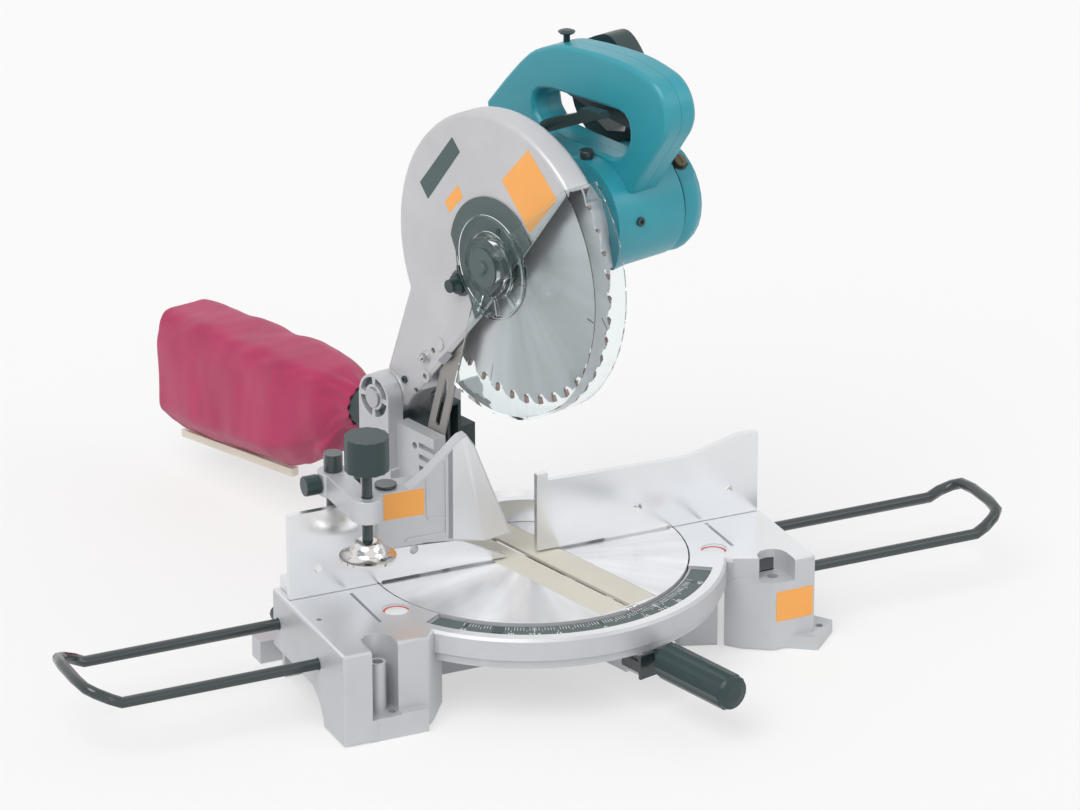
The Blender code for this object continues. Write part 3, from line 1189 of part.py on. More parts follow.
def case_rim(radius):
    # The disc's rim from the front edge over the top down to the waist.
    return arc((BLADE_Y, BLADE_Z), radius, CASE_START_ANGLE, WAIST_ANGLE, 32)


def blade_case():
    outer = case_rim(CASE_OUTER) + [NECK_REAR, LOBE_FRONT, OPEN_F, OPEN_E, OPEN_D, OPEN_B]
    rim = case_rim(CASE_INNER)
    reach = 2 * CASE_ROUNDING
    inner = rim + [NECK_INNER]
    beyond = [(y - reach, z - reach) for y, z in (OPEN_E, OPEN_D, OPEN_B, rim[0])]
    steps = [
        cut(plate([inner + beyond], "SIDE", CASE_LEFT + CASE_SKIN, CASE_RIGHT - CASE_SKIN)),
        add(rod("X", (PIVOT_Y, PIVOT_Z), LOBE_RADIUS, LOBE_LEFT, LOBE_RIGHT, steps=ROUND_STEPS)),
        cut(rod("X", (PIVOT_Y, PIVOT_Z), PIVOT_RADIUS + GAP, LOBE_LEFT - OVERRUN, CASE_RIGHT + OVERRUN,
                steps=24)),
        cut(rod("X", (PIVOT_Y, PIVOT_Z), LOBE_RADIUS + WALL, LOBE_RIGHT, CASE_RIGHT + OVERRUN,
                steps=ROUND_STEPS)),
        cut(rod("X", (RELEASE_Y, RELEASE_Z), RELEASE_ROD + GAP, CASE_RIGHT - 2 * CASE_SKIN,
                CASE_RIGHT + OVERRUN)),
        cut(rod("X", (BLADE_Y, BLADE_Z), SPINDLE_HOLE, CASE_RIGHT - 2 * CASE_SKIN, CASE_RIGHT + OVERRUN,
                steps=ROUND_STEPS)),
        cut(rod("X", (BLADE_Y, BLADE_Z), COVER_OPENING, CASE_LEFT - OVERRUN, CASE_LEFT + 2 * CASE_SKIN,
                steps=ROUND_STEPS)),
    ]
    for y, z in CASE_SCREWS:
        steps.append(add(rod("X", (y, z), CASE_BOSS_RADIUS, CASE_LEFT - CASE_BOSS_HEIGHT,
                             CASE_LEFT + CASE_SKIN / 2,
                             steps=12)))
    for y, z in CASE_HOLES:
        steps.append(cut(rod("X", (y, z), CASE_HOLE_RADIUS, CASE_LEFT - 2 * CASE_BOSS_HEIGHT,
                             CASE_LEFT + CASE_HOLE_DEPTH, steps=12)))
    piece("blade_case", chop_axis, plate([outer], "SIDE", CASE_LEFT, CASE_RIGHT, rounding=CASE_ROUNDING),
          CAST, steps,
          "MANIFOLD")


SPINDLE_HOLE = 0.020
COVER_OPENING = 0.030
CASE_BOSS_RADIUS = 0.006
CASE_BOSS_HEIGHT = 0.0015
CASE_SCREW_RADIUS = 0.0025
CASE_SCREWS = ((0.1193, 0.2421), (0.1001, 0.2601), (0.1195, 0.2233))
CASE_HOLES = ((0.1093, 0.2510), (0.1195, 0.2233), (0.1346, 0.2043), (0.1492, 0.2106))
CASE_HOLE_RADIUS = 0.0027
CASE_HOLE_DEPTH = 0.0018
COVER_BOLT_FLANGE = 0.009
RETAINER_EDGE = 0.0048


def case_covers():
    centre = (BLADE_Y, BLADE_Z)
    right = CASE_LEFT - GAP
    outline = arc(centre, COVER_RADIUS, COVER_FRONT_ANGLE, COVER_REAR_ANGLE, ROUND_STEPS) + [COVER_POINT]
    piece("centre_cover", chop_axis, plate([outline], "SIDE", COVER_LEFT, right), SLATE, [
        add(rod("X", (COVER_EAR_Y, COVER_EAR_Z), COVER_EAR_RADIUS, COVER_LEFT, right)),
        add(rod("X", centre, HUB_BOSS_RADIUS, HUB_BOSS_END, right - WASHER_THICKNESS / 2)),
        cut(rod("X", (COVER_EAR_Y, COVER_EAR_Z), CASE_SCREW_RADIUS + GAP, COVER_LEFT - OVERRUN,
                right + OVERRUN)),
        cut(rod("X", centre, CASE_SCREW_RADIUS + GAP, HUB_BOSS_END - OVERRUN, HUB_BOSS_END + 2 * OVERRUN)),
    ])
    seat = COVER_LEFT - GAP
    head = 2 * CASE_BOSS_RADIUS
    profile = ((0, right), (CASE_SCREW_RADIUS, right), (CASE_SCREW_RADIUS, seat), (COVER_BOLT_FLANGE, seat),
               (COVER_BOLT_FLANGE, seat - head / 3), (CASE_BOSS_RADIUS, seat - head / 3),
               (CASE_BOSS_RADIUS, seat - head), (0, seat - head))
    piece("centre_cover_bolt", chop_axis, turned(profile, "X", (COVER_EAR_Y, COVER_EAR_Z), steps=12), STEEL)
    washer = HUB_BOSS_END - GAP
    face = washer - WASHER_THICKNESS
    profile = ((0, washer + OVERRUN), (CASE_SCREW_RADIUS, washer + OVERRUN), (CASE_SCREW_RADIUS, washer),
               (WASHER_RADIUS, washer), (WASHER_RADIUS, face), (CASE_BOSS_RADIUS, face),
               (RETAINER_EDGE, face - OVERRUN), (0, face - OVERRUN))
    piece("guard_retainer", chop_axis, turned(profile, "X", centre), SLATE)


# Blade guard: a clear shell that turns about the blade's axis

GUARD_OUTER = 0.1385
GUARD_INNER = 0.1362
GUARD_LEFT = -0.0222
GUARD_WALL = 0.0020
GUARD_RIGHT = 0.0135
GUARD_START = 135
GUARD_END = 292
GUARD_HUB = 0.027
GUARD_RIB_RING = 0.048
GUARD_RIB_HEIGHT = 0.004


def blade_guard():
    centre = (BLADE_Y, BLADE_Z)
    inner = GUARD_LEFT + GUARD_WALL
    sector = arc(centre, GUARD_OUTER, GUARD_START, GUARD_END, 36)
    hub = arc(centre, GUARD_HUB, GUARD_END + 22, 360 + GUARD_START - 22, 12)
    steps = [
        add(plate([arc(centre, GUARD_OUTER, GUARD_START, GUARD_END, 36) +
                   arc(centre, GUARD_INNER, GUARD_END, GUARD_START, 36)], "SIDE", inner - GAP, GUARD_RIGHT)),
        add(plate([arc(centre, GUARD_RIB_RING, GUARD_START + 4, GUARD_END - 4, 20) +
                   arc(centre, GUARD_RIB_RING - GUARD_WALL, GUARD_END - 4, GUARD_START + 4, 20)], "SIDE",
                  GUARD_LEFT - GUARD_RIB_HEIGHT, GUARD_LEFT + GAP)),
        add(rod("X", centre, GUARD_HUB - GAP, HUB_BOSS_END + GAP, inner - GAP, steps=32)),
        cut(rod("X", centre, HUB_BOSS_RADIUS + GAP, HUB_BOSS_END - OVERRUN, inner + OVERRUN, steps=32)),
    ]
    piece("blade_guard", guard_axis, plate([sector + hub], "SIDE", GUARD_LEFT, inner), CLEAR, steps)


# Blade, flanges, spindle and gears

BLADE_BORE = 0.015
TOOTH_COUNT = 40
TOOTH_DEPTH = 0.007
GULLET_RADIUS = 0.121
FLANGE_RADIUS = 0.022
FLANGE_INNER_END = 0.005
FLANGE_OUTER_START = -0.006
BOLT_HEAD_END = -0.0130
BLADE_BOLT_RADIUS = 0.009
SPINDLE_RADIUS = 0.0075
SPINDLE_END = 0.048
SHOULDER_RADIUS = 0.010
GEAR_RADIUS = 0.040
GEAR_LOW = 0.022
GEAR_HIGH = 0.034
GEAR_TEETH = 36
PINION_TEETH = 10
PINION_RADIUS = 0.0095
BEARING_OUTER = 0.016
BEARING_WIDTH = 0.008
BLADE_SLOTS = 4
BOLT_FLANGE = 0.0117
tooth_shares = (0.3, 0.62, 0.9)
gear_shares = (0.3, 0.5, 0.8)
fan_shares = (0.4, 0.5, 0.9)


def blade():
    centre = (BLADE_Y, BLADE_Z)
    outline = []
    for i in range(TOOTH_COUNT):
        a = 360 * i / TOOTH_COUNT
        pitch = 360 / TOOTH_COUNT
        outline += arc(centre, BLADE_RADIUS, a, a + 1, 1)[:1]
        outline += arc(centre, BLADE_RADIUS - TOOTH_DEPTH / 4, a + pitch * tooth_shares[0], a + pitch, 1)[:1]
        outline += arc(centre, GULLET_RADIUS, a + pitch * tooth_shares[1], a + pitch, 1)[:1]
        outline += arc(centre, GULLET_RADIUS + TOOTH_DEPTH / 8, a + pitch * tooth_shares[2], a + pitch, 1)[:1]
    half = BLADE_THICKNESS / 2
    bore = circle(centre, BLADE_BORE, 32)
    steps = []
    for i in range(BLADE_SLOTS):
        a = math.radians(360 * i / BLADE_SLOTS + 12)
        slot = box((-OVERRUN, BLADE_Y + GULLET_RADIUS - 2 * TOOTH_DEPTH, BLADE_Z - GROOVE_DEPTH),
                   (OVERRUN, BLADE_Y + BLADE_RADIUS + OVERRUN, BLADE_Z + GROOVE_DEPTH))
        slanted(slot, Matrix.Rotation(a, 4, "X"), (0, BLADE_Y, BLADE_Z))
        steps.append(cut(slot))
    piece("saw_blade", spindle_axis, plate([outline, bore], "SIDE", -half, half), BLADE_STEEL, steps)


def spindle_parts():
    centre = (BLADE_Y, BLADE_Z)
    half = BLADE_THICKNESS / 2 + GAP
    nose = FLANGE_OUTER_START + BAG_WALL
    shaft = ((0, SPINDLE_END), (SPINDLE_RADIUS, SPINDLE_END), (SPINDLE_RADIUS, GEAR_LOW - GAP),
             (SHOULDER_RADIUS, GEAR_LOW - GAP), (SHOULDER_RADIUS, FLANGE_INNER_END + GAP),
             (SPINDLE_RADIUS, FLANGE_INNER_END + GAP), (SPINDLE_RADIUS, nose), (0, nose))
    gear = []
    pitch = 360 / GEAR_TEETH
    for i in range(GEAR_TEETH):
        gear += arc(centre, GEAR_RADIUS, i * pitch, (i + gear_shares[0]) * pitch, 1)
        gear += arc(centre, GEAR_RADIUS - GUARD_WALL, (i + gear_shares[1]) * pitch,
                    (i + gear_shares[2]) * pitch, 1)
    piece("spindle", spindle_axis, turned(shaft, "X", centre, steps=SMALL_STEPS), STEEL, [
        add(plate([gear], "SIDE", GEAR_LOW, GEAR_HIGH)),
        cut(rod("X", centre, BLADE_BOLT_RADIUS / 2 + GAP, nose - OVERRUN, GEAR_LOW)),
    ])
    inner = ((SPINDLE_RADIUS + GAP, FLANGE_INNER_END), (FLANGE_RADIUS, FLANGE_INNER_END),
             (FLANGE_RADIUS, half),
             (BLADE_BORE - GAP, half), (BLADE_BORE - GAP, 2 * GAP - half), (SPINDLE_RADIUS + GAP,
                                                                            2 * GAP - half))
    piece("inner_flange", spindle_axis, turned(inner, "X", centre, steps=24, ring=True), SLATE)
    outer = ring("X", centre, SPINDLE_RADIUS + GAP, FLANGE_RADIUS, FLANGE_OUTER_START, -half, steps=24)
    piece("outer_flange", spindle_axis, outer, SLATE)
    seat = FLANGE_OUTER_START - GAP
    end = GEAR_LOW - OVERRUN
    bolt_profile = ((0, end), (BLADE_BOLT_RADIUS / 2, end), (BLADE_BOLT_RADIUS / 2, seat),
                    (BOLT_FLANGE, seat), (BLADE_BOLT_RADIUS, BOLT_HEAD_END), (0, BOLT_HEAD_END))
    piece("blade_bolt", spindle_axis, turned(bolt_profile, "X", centre, steps=12), STEEL)


# Gear housing, motor and what turns inside

BOX_LEFT = 0.0113
BOX_RIGHT = 0.050
BOX_SPINDLE_RADIUS = 0.047
BOX_MOTOR_RADIUS = 0.030
BOX_WALL = 0.004
ARMATURE_BEARING = 0.013
ARMATURE_SHAFT = 0.006
ARMATURE_LEFT = 0.020
ARMATURE_RIGHT = 0.146
PINION_LEFT = 0.023
PINION_RIGHT = 0.033
CORE_LEFT = 0.070
CORE_RIGHT = 0.110
CORE_RADIUS = 0.0345
STATOR_LEFT = 0.068
STATOR_RIGHT = 0.112
STATOR_INNER = 0.036
FAN_LEFT = 0.0605
FAN_RIGHT = 0.0645
FAN_RADIUS = 0.044
FAN_BLADES = 12
COMMUTATOR_LEFT = 0.1305
COMMUTATOR_RIGHT = 0.1415
COMMUTATOR_RADIUS = 0.014
MOTOR_LEFT = 0.0503
MOTOR_RIGHT = 0.125
MOTOR_WALL = 0.003
END_RIGHT = 0.150
END_ROUNDING = 0.010
BRUSH_X = 0.136
BRUSH_HALF = 0.0035
CAP_RADIUS = 0.008
CAP_FLAT = 0.0160
CAP_ANGLE = 129
CAP_HEIGHT = 0.0515
CAP_DEPTH = 0.042


def gear_housing():
    spindle = (BLADE_Y, BLADE_Z)
    motor = (MOTOR_Y, MOTOR_Z)
    inner = BOX_LEFT + BOX_WALL
    end = BOX_RIGHT - BOX_WALL
    arm = box((inner - GAP, MOTOR_Y - BOX_MOTOR_RADIUS + BOX_WALL, BLADE_Z - BOX_WALL),
              (BOX_RIGHT - GAP, BLADE_Y + BOX_WALL, MOTOR_Z + BOX_MOTOR_RADIUS - 2 * BOX_WALL))
    piece("gear_housing", chop_axis, rod("X", spindle, BOX_SPINDLE_RADIUS, BOX_LEFT, BOX_RIGHT,
                                         steps=ROUND_STEPS, rounding=GROOVE_DEPTH), CAST, [
        add(rod("X", motor, BOX_MOTOR_RADIUS, BOX_LEFT + GROOVE_DEPTH, BOX_RIGHT - GROOVE_DEPTH / 2,
                steps=ROUND_STEPS)),
        add(arm),
        cut(rod("X", spindle, BOX_SPINDLE_RADIUS - BOX_WALL, inner, end, steps=ROUND_STEPS)),
        cut(rod("X", motor, PINION_RADIUS + BOX_WALL, inner + GROOVE_DEPTH, end - GROOVE_DEPTH,
                steps=ROUND_STEPS)),
        cut(rod("X", spindle, BEARING_OUTER + GAP, BOX_LEFT + WASHER_THICKNESS / 2, inner + OVERRUN,
                steps=ROUND_STEPS)),
        cut(rod("X", spindle, SHOULDER_RADIUS + GAP, BOX_LEFT - OVERRUN, inner + OVERRUN, steps=24)),
        cut(rod("X", spindle, SPINDLE_RADIUS + GAP / 3, end - OVERRUN, BOX_RIGHT + OVERRUN, steps=24)),
        cut(rod("X", motor, ARMATURE_SHAFT + GAP, end - OVERRUN, BOX_RIGHT + OVERRUN)),
    ])


def bearings():
    motor = (MOTOR_Y, MOTOR_Z)
    nose = BOX_LEFT + WASHER_THICKNESS / 2 + FINE
    piece("spindle_bearing", chop_axis, ring("X", (BLADE_Y, BLADE_Z), SHOULDER_RADIUS + GAP / 3,
                                             BEARING_OUTER,
                                             nose, nose + BEARING_WIDTH, steps=24), NICKEL)
    low = MOTOR_LEFT + WASHER_THICKNESS / 2
    piece("armature_bearing", chop_axis, ring("X", motor, ARMATURE_SHAFT + GAP / 3, ARMATURE_BEARING, low,
                                              low + ARMATURE_BEARING / 2, steps=24), NICKEL)


def motor_parts():
    motor = (MOTOR_Y, MOTOR_Z)
    inner = MOTOR_RADIUS - MOTOR_WALL
    seat = ARMATURE_BEARING / 2 + WASHER_THICKNESS / 2
    piece("motor_housing", chop_axis, rod("X", motor, MOTOR_RADIUS, MOTOR_LEFT, MOTOR_RIGHT,
                                          steps=ROUND_STEPS), TEAL, [
        cut(rod("X", motor, inner, MOTOR_LEFT + seat + WASHER_THICKNESS / 2, MOTOR_RIGHT - 2 * MOTOR_WALL,
                steps=ROUND_STEPS)),
        cut(rod("X", motor, CORE_RADIUS, MOTOR_RIGHT - 3 * MOTOR_WALL, MOTOR_RIGHT + OVERRUN,
                steps=ROUND_STEPS)),
        cut(rod("X", motor, ARMATURE_BEARING + GAP, MOTOR_LEFT + WASHER_THICKNESS / 2 - FINE,
                MOTOR_LEFT + 2 * seat,
                steps=24)),
        cut(rod("X", motor, ARMATURE_SHAFT + GAP, MOTOR_LEFT - OVERRUN, MOTOR_LEFT + seat)),
        cut(rod("X", (BLADE_Y, BLADE_Z), SPINDLE_RADIUS + GAP, MOTOR_LEFT - OVERRUN, MOTOR_LEFT + OVERRUN)),
    ])
    stator = ring("X", motor, STATOR_INNER, inner - GAP, STATOR_LEFT, STATOR_RIGHT)
    piece("stator", chop_axis, stator, COPPER)
    cap = math.radians(CAP_ANGLE)
    flat = box((BRUSH_X - CAP_FLAT, -MOTOR_RADIUS, CAP_HEIGHT - WALL / 2),
               (END_RIGHT + OVERRUN, MOTOR_RADIUS, MOTOR_RADIUS + WALL))
    cover_steps = [cut(rod("X", motor, inner, MOTOR_RIGHT - OVERRUN, END_RIGHT - 2 * MOTOR_WALL,
                           steps=ROUND_STEPS))]
    for turn in (0, math.pi):
        pocket = rod("Z", (BRUSH_X, 0), CAP_RADIUS + GAP, CAP_DEPTH - OVERRUN, MOTOR_RADIUS + WALL, steps=16)
        for tool in (pocket, flat.copy()):
            tool.transform(Matrix.Translation((0, MOTOR_Y,
                                               MOTOR_Z)) @ Matrix.Rotation(cap - math.pi / 2 + turn, 4, "X"))
            cover_steps.append(cut(tool))
    piece("motor_end_cover", chop_axis, rod("X", motor, MOTOR_RADIUS, MOTOR_RIGHT + GAP, END_RIGHT,
                                            steps=ROUND_STEPS, rounding=END_ROUNDING), TEAL, cover_steps,
          "MANIFOLD")
    for word, turn in (("upper", 0), ("lower", math.pi)):
        place = Matrix.Translation((0, MOTOR_Y, MOTOR_Z)) @ Matrix.Rotation(cap - math.pi / 2 + turn, 4, "X")
        plug = rod("Z", (BRUSH_X, 0), CAP_RADIUS, CAP_DEPTH, CAP_HEIGHT - WALL / 2 + GAP, steps=16)
        stick = box((BRUSH_X - BRUSH_HALF, -BRUSH_HALF, COMMUTATOR_RADIUS + GAP),
                    (BRUSH_X + BRUSH_HALF, BRUSH_HALF,
                                                                                 CAP_DEPTH + OVERRUN))
        plug.transform(place)
        stick.transform(place)
        piece(f"brush_{word}", chop_axis, plug, BROWN, [add(stick)])


def armature():
    motor = (MOTOR_Y, MOTOR_Z)
    teeth = []
    for i in range(PINION_TEETH):
        pitch = 360 / PINION_TEETH
        teeth += arc(motor, PINION_RADIUS, i * pitch, (i + gear_shares[0]) * pitch, 1)
        teeth += arc(motor, PINION_RADIUS - GUARD_WALL, (i + gear_shares[1]) * pitch,
                     (i + gear_shares[2]) * pitch, 1)
    blades = []
    for i in range(FAN_BLADES):
        pitch = 360 / FAN_BLADES
        blades += arc(motor, FAN_RADIUS, i * pitch, (i + fan_shares[0]) * pitch, 2)
        blades += arc(motor, FAN_RADIUS / 2, (i + fan_shares[1]) * pitch, (i + fan_shares[2]) * pitch, 1)
    piece("armature", motor_axis, rod("X", motor, ARMATURE_SHAFT, ARMATURE_LEFT, ARMATURE_RIGHT - OVERRUN),
          STEEL, [
        add(plate([blades], "SIDE", FAN_LEFT, FAN_RIGHT)),
        add(plate([teeth], "SIDE", PINION_LEFT, PINION_RIGHT)),
        add(rod("X", motor, CORE_RADIUS, CORE_LEFT, CORE_RIGHT, steps=24)),
        add(rod("X", motor, COMMUTATOR_RADIUS, COMMUTATOR_LEFT, COMMUTATOR_RIGHT, steps=24)),
    ])


# Handle: a D-shaped loop in two halves over the motor, with the switch inside

HANDLE_HALF = 0.017
HANDLE_ROUNDING = 0.010
HANDLE_FRONT = -0.110
SADDLE = 0.0003
SLOT_HALF = 0.0085
TRIGGER_HALF = 0.007
SWITCH_HALF = 0.010
SWITCH_LOW = (-0.020, 0.5135)
SWITCH_HIGH = (0.025, 0.5275)
SLOT_LOW = (-0.056, 0.470)
SLOT_HIGH = (0.052, 0.512)
HANDLE_OUTER = ((0.050, 0.425), (0.125, 0.438), (0.1395, 0.4555), (0.1135, 0.485), (0.0815, 0.517),
                (0.057, 0.530),
                (0.034, 0.537), (-0.037, 0.543), (-0.078, 0.538), (-0.092, 0.531), (-0.101, 0.519),
                (-0.104, 0.504), (-0.100, 0.490), (-0.092, 0.478), (-0.064, 0.437), (-0.034, 0.397),
                (0.000, 0.410))
HANDLE_CURVE = (3, 13)
HANDLE_WINDOW = ((0.066, 0.4885), (0.050, 0.4925), (0.004, 0.4955), (-0.040, 0.4980), (-0.0475, 0.4965),
                 (-0.0525, 0.4915), (-0.0545, 0.4845), (-0.0545, 0.4760), (-0.050, 0.4650), (-0.042, 0.4560),
                 (-0.032, 0.4525), (0.030, 0.4525), (0.050, 0.4535), (0.064, 0.4580), (0.072, 0.4660),
                 (0.074, 0.4750), (0.072, 0.4830))
TRIGGER_OUTLINE = ((0.048, 0.498), (0.048, 0.491), (0.010, 0.4845), (-0.046, 0.4805), (-0.0515, 0.4845),
                   (-0.0515, 0.498), (0.000, 0.503), (0.040, 0.503))
BUTTON_STEM = 0.003
BUTTON_HEAD = 0.0078
BUTTON_UNDER = 0.0066
BUTTON_TOP = 0.0125
BUTTON_CAP = 0.003
TRIGGER_PIN = 0.0015


def handle_half(name, low, high):
    outer = curved(HANDLE_OUTER, HANDLE_CURVE[0], HANDLE_CURVE[1])
    mesh = plate([outer, list(HANDLE_WINDOW)], "SIDE", HANDLE_X - HANDLE_HALF,
                 HANDLE_X + HANDLE_HALF, rounding=HANDLE_ROUNDING)
    steps = [
        keep(box((low, HANDLE_FRONT, MOTOR_Z - OVERRUN), (high, PIVOT_Y, HANDLE_CUT_TOP))),
        cut(rod("X", (MOTOR_Y, MOTOR_Z), MOTOR_RADIUS + SADDLE, HANDLE_X - 2 * HANDLE_HALF,
                HANDLE_X + 2 * HANDLE_HALF, steps=ROUND_STEPS)),
        cut(box((HANDLE_X - SLOT_HALF, *SLOT_LOW), (HANDLE_X + SLOT_HALF, *SLOT_HIGH))),
        cut(box((HANDLE_X - SWITCH_HALF, SWITCH_LOW[0], SLOT_HIGH[1] - OVERRUN),
                (HANDLE_X + SWITCH_HALF, SWITCH_HIGH[0], SWITCH_HIGH[1]))),
        cut(rod("Z", (HANDLE_X, BUTTON_Y), BUTTON_STEM + GAP, SLOT_HIGH[1] - OVERRUN, HANDLE_CUT_TOP,
                steps=16)),
        cut(rod("X", (TRIGGER_Y, TRIGGER_Z), TRIGGER_PIN + GAP, HANDLE_X - SLOT_HALF - OVERRUN,
                HANDLE_X + SLOT_HALF + OVERRUN, steps=12)),
    ]
    piece(name, chop_axis, mesh, TEAL, steps)


def handle():
    middle = HANDLE_X
    handle_half("handle_left", middle - HANDLE_HALF - OVERRUN, middle - GAP / 2)
    handle_half("handle_right", middle + GAP / 2, middle + HANDLE_HALF + OVERRUN)
    low = (middle - SWITCH_HALF + GAP, SWITCH_LOW[0] + GAP, SWITCH_LOW[1])
    piece("trigger_switch", chop_axis, box(low, (middle + SWITCH_HALF - GAP, SWITCH_HIGH[0] - GAP,
                                                 SWITCH_HIGH[1] - GAP)), BLACK)
    trigger = plate([list(TRIGGER_OUTLINE)], "SIDE", middle - TRIGGER_HALF, middle + TRIGGER_HALF)
    piece("trigger", trigger_axis, trigger, BLACK, [
        add(rod("X", (TRIGGER_Y, TRIGGER_Z), TRIGGER_PIN, middle - SLOT_HALF - OVERRUN + GAP,
                middle + SLOT_HALF + OVERRUN - GAP, steps=10)),
    ])
    top = BUTTON_Z + BUTTON_TOP
    stem = ((0, top), (BUTTON_HEAD / 2, top), (BUTTON_HEAD, top - BUTTON_CAP / 2),
            (BUTTON_UNDER, top - BUTTON_CAP),
            (BUTTON_STEM, top - BUTTON_CAP - BUTTON_CAP / 2), (BUTTON_STEM, BUTTON_Z - BUTTON_TOP),
            (0, BUTTON_Z - BUTTON_TOP))
    piece("lock_off_button", button_axis, turned(stem, "Z", (HANDLE_X, BUTTON_Y), steps=SMALL_STEPS), BLACK)


# Pieces beside the handle: the lowering lever, the shaft lock and the carrying handle

RELEASE_LEFT = 0.0520
RELEASE_RIGHT = 0.0615
RELEASE_OUTLINE = ((0.045, 0.4610), (0.045, 0.4680), (0.035, 0.4740), (-0.003, 0.4895), (-0.010, 0.4965),
                   (-0.034, 0.4985), (-0.038, 0.4940), (-0.012, 0.4830), (0.035, 0.4610))
CARRY_HALF = 0.011
CARRY_OUTER = ((0.038, 0.4300), (0.066, 0.4520), (0.078, 0.4800), (0.076, 0.5050), (0.062, 0.5225),
               (0.034, 0.5375), (0.022, 0.5375), (0.008, 0.5270), (-0.010, 0.5020), (-0.014, 0.4800),
               (-0.006, 0.4300))
CARRY_CURVE = (1, 9)
CARRY_INNER = ((0.028, 0.4500), (0.054, 0.4610), (0.065, 0.4820), (0.064, 0.5000), (0.054, 0.5120),
               (0.032, 0.5250), (0.024, 0.5250), (0.014, 0.5170), (0.000, 0.4960), (-0.002, 0.4800),
               (0.004, 0.4560))


def release_lever():
    # The lever that frees the guard before the head comes down.
    mesh = plate([list(RELEASE_OUTLINE)], "SIDE", RELEASE_LEFT, RELEASE_RIGHT)
    piece("release_lever", release_axis, mesh, BLACK, [
        add(rod("X", (RELEASE_Y, RELEASE_Z), RELEASE_ROD, CASE_RIGHT - CASE_SKIN + GAP,
                RELEASE_LEFT + OVERRUN)),
    ])


def carrying_handle():
    outer = curved(CARRY_OUTER, CARRY_CURVE[0], CARRY_CURVE[1])
    mesh = plate([outer, list(CARRY_INNER)], "SIDE", CARRY_X - CARRY_HALF, CARRY_X + CARRY_HALF)
    piece("carrying_handle", chop_axis, mesh, BLACK, [
        cut(rod("X", (MOTOR_Y, MOTOR_Z), MOTOR_RADIUS + SADDLE, CARRY_X - 2 * CARRY_HALF,
                CARRY_X + 2 * CARRY_HALF,
                steps=ROUND_STEPS)),
    ])


def build_base():
    base_casting()
    mitre_scale_plate()
    guide_fence()
    fence_bolts()
    sub_fence()
    sub_fence_pin()
    mitre_pivot_bolt()
    clamp()
    for side, word, axis in ((-1, "left", holder_left_axis), (1, "right", holder_right_axis)):
        holder(side, f"work_holder_{word}", axis)
        holder_lock(side, f"holder_lock_{word}")


def build_turntable():
    turntable()
    kerf_boards()
    mitre_pointer()
    mitre_grip()
    lever_bracket()
    mitre_lock_lever()


def build_arm():
    bevel_arm()
    bevel_fasteners()
    bevel_lock_lever()
    head_pivot_rod()
    return_spring()
    dust_parts()
    dust_bag()
    dust_bag_rail()
    guard_link()


def build_head():
    blade_case()
    case_covers()
    blade_guard()
    blade()
    spindle_parts()
    gear_housing()
    bearings()
    motor_parts()
    armature()
    handle()
    release_lever()
    carrying_handle()


build_base()
build_turntable()
build_arm()
build_head()
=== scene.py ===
import json
import math
import bmesh
import bpy
from mathutils import Matrix, Vector, noise


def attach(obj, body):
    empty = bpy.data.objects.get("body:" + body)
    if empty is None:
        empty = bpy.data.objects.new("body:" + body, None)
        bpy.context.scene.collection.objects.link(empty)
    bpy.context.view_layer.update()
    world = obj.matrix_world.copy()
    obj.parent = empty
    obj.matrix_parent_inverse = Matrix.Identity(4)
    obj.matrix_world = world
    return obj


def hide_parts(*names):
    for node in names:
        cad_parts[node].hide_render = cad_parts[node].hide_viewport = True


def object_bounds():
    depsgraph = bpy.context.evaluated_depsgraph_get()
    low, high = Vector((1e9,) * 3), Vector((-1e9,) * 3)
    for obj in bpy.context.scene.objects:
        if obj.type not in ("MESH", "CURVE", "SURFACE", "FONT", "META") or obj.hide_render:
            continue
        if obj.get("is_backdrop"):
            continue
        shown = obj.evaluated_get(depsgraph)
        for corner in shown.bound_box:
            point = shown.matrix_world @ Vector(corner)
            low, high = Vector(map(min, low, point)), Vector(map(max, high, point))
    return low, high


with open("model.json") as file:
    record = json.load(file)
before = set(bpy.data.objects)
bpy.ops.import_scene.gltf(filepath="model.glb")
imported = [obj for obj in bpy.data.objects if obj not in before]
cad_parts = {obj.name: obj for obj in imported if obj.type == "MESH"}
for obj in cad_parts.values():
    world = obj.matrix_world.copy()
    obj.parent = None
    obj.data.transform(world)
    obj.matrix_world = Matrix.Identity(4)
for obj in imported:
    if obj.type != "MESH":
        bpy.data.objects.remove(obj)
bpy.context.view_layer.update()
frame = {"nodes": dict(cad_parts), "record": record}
nodes = frame["nodes"]
bodyOf = {node: body for body, held in frame["record"]["behaviour"]["bodies"].items() for node in held}

saw = {"mitre": 15, "bladeY": 0.022, "bladeZ": 0.360, "motorY": -0.012, "motorZ": 0.398}
# everything on the turntable is drawn square, then turned
turned = Matrix.Rotation(math.radians(saw["mitre"]), 4, "Z")


def newPiece(name, data):
    piece = bpy.data.objects.new(name, data)
    bpy.context.collection.objects.link(piece)
    return piece


# camera, floor and light

view = {"place": (-2.0277, -4.3839, 2.2891), "target": (0.0215, 0.0197, 0.2183), "lens": 200.5, "sensor": 36,
        "far": 50}
light = {"world": 0.62, "key": 1.5, "fill": 0.35, "softness": 40, "floor": 0.86, "floorGlow": 0.55,
         "floorHalf": 14, "floorDrop": 0.0004}


def setCamera():
    data = bpy.data.cameras.new("camera")
    data.lens = view["lens"]
    data.sensor_width = view["sensor"]
    data.clip_end = view["far"]
    camera = newPiece("camera", data)
    camera.location = view["place"]
    aim = Vector(view["target"]) - camera.location
    camera.rotation_euler = aim.to_track_quat("-Z", "Y").to_euler()
    bpy.context.scene.camera = camera
    bpy.context.scene.view_settings.view_transform = "Standard"


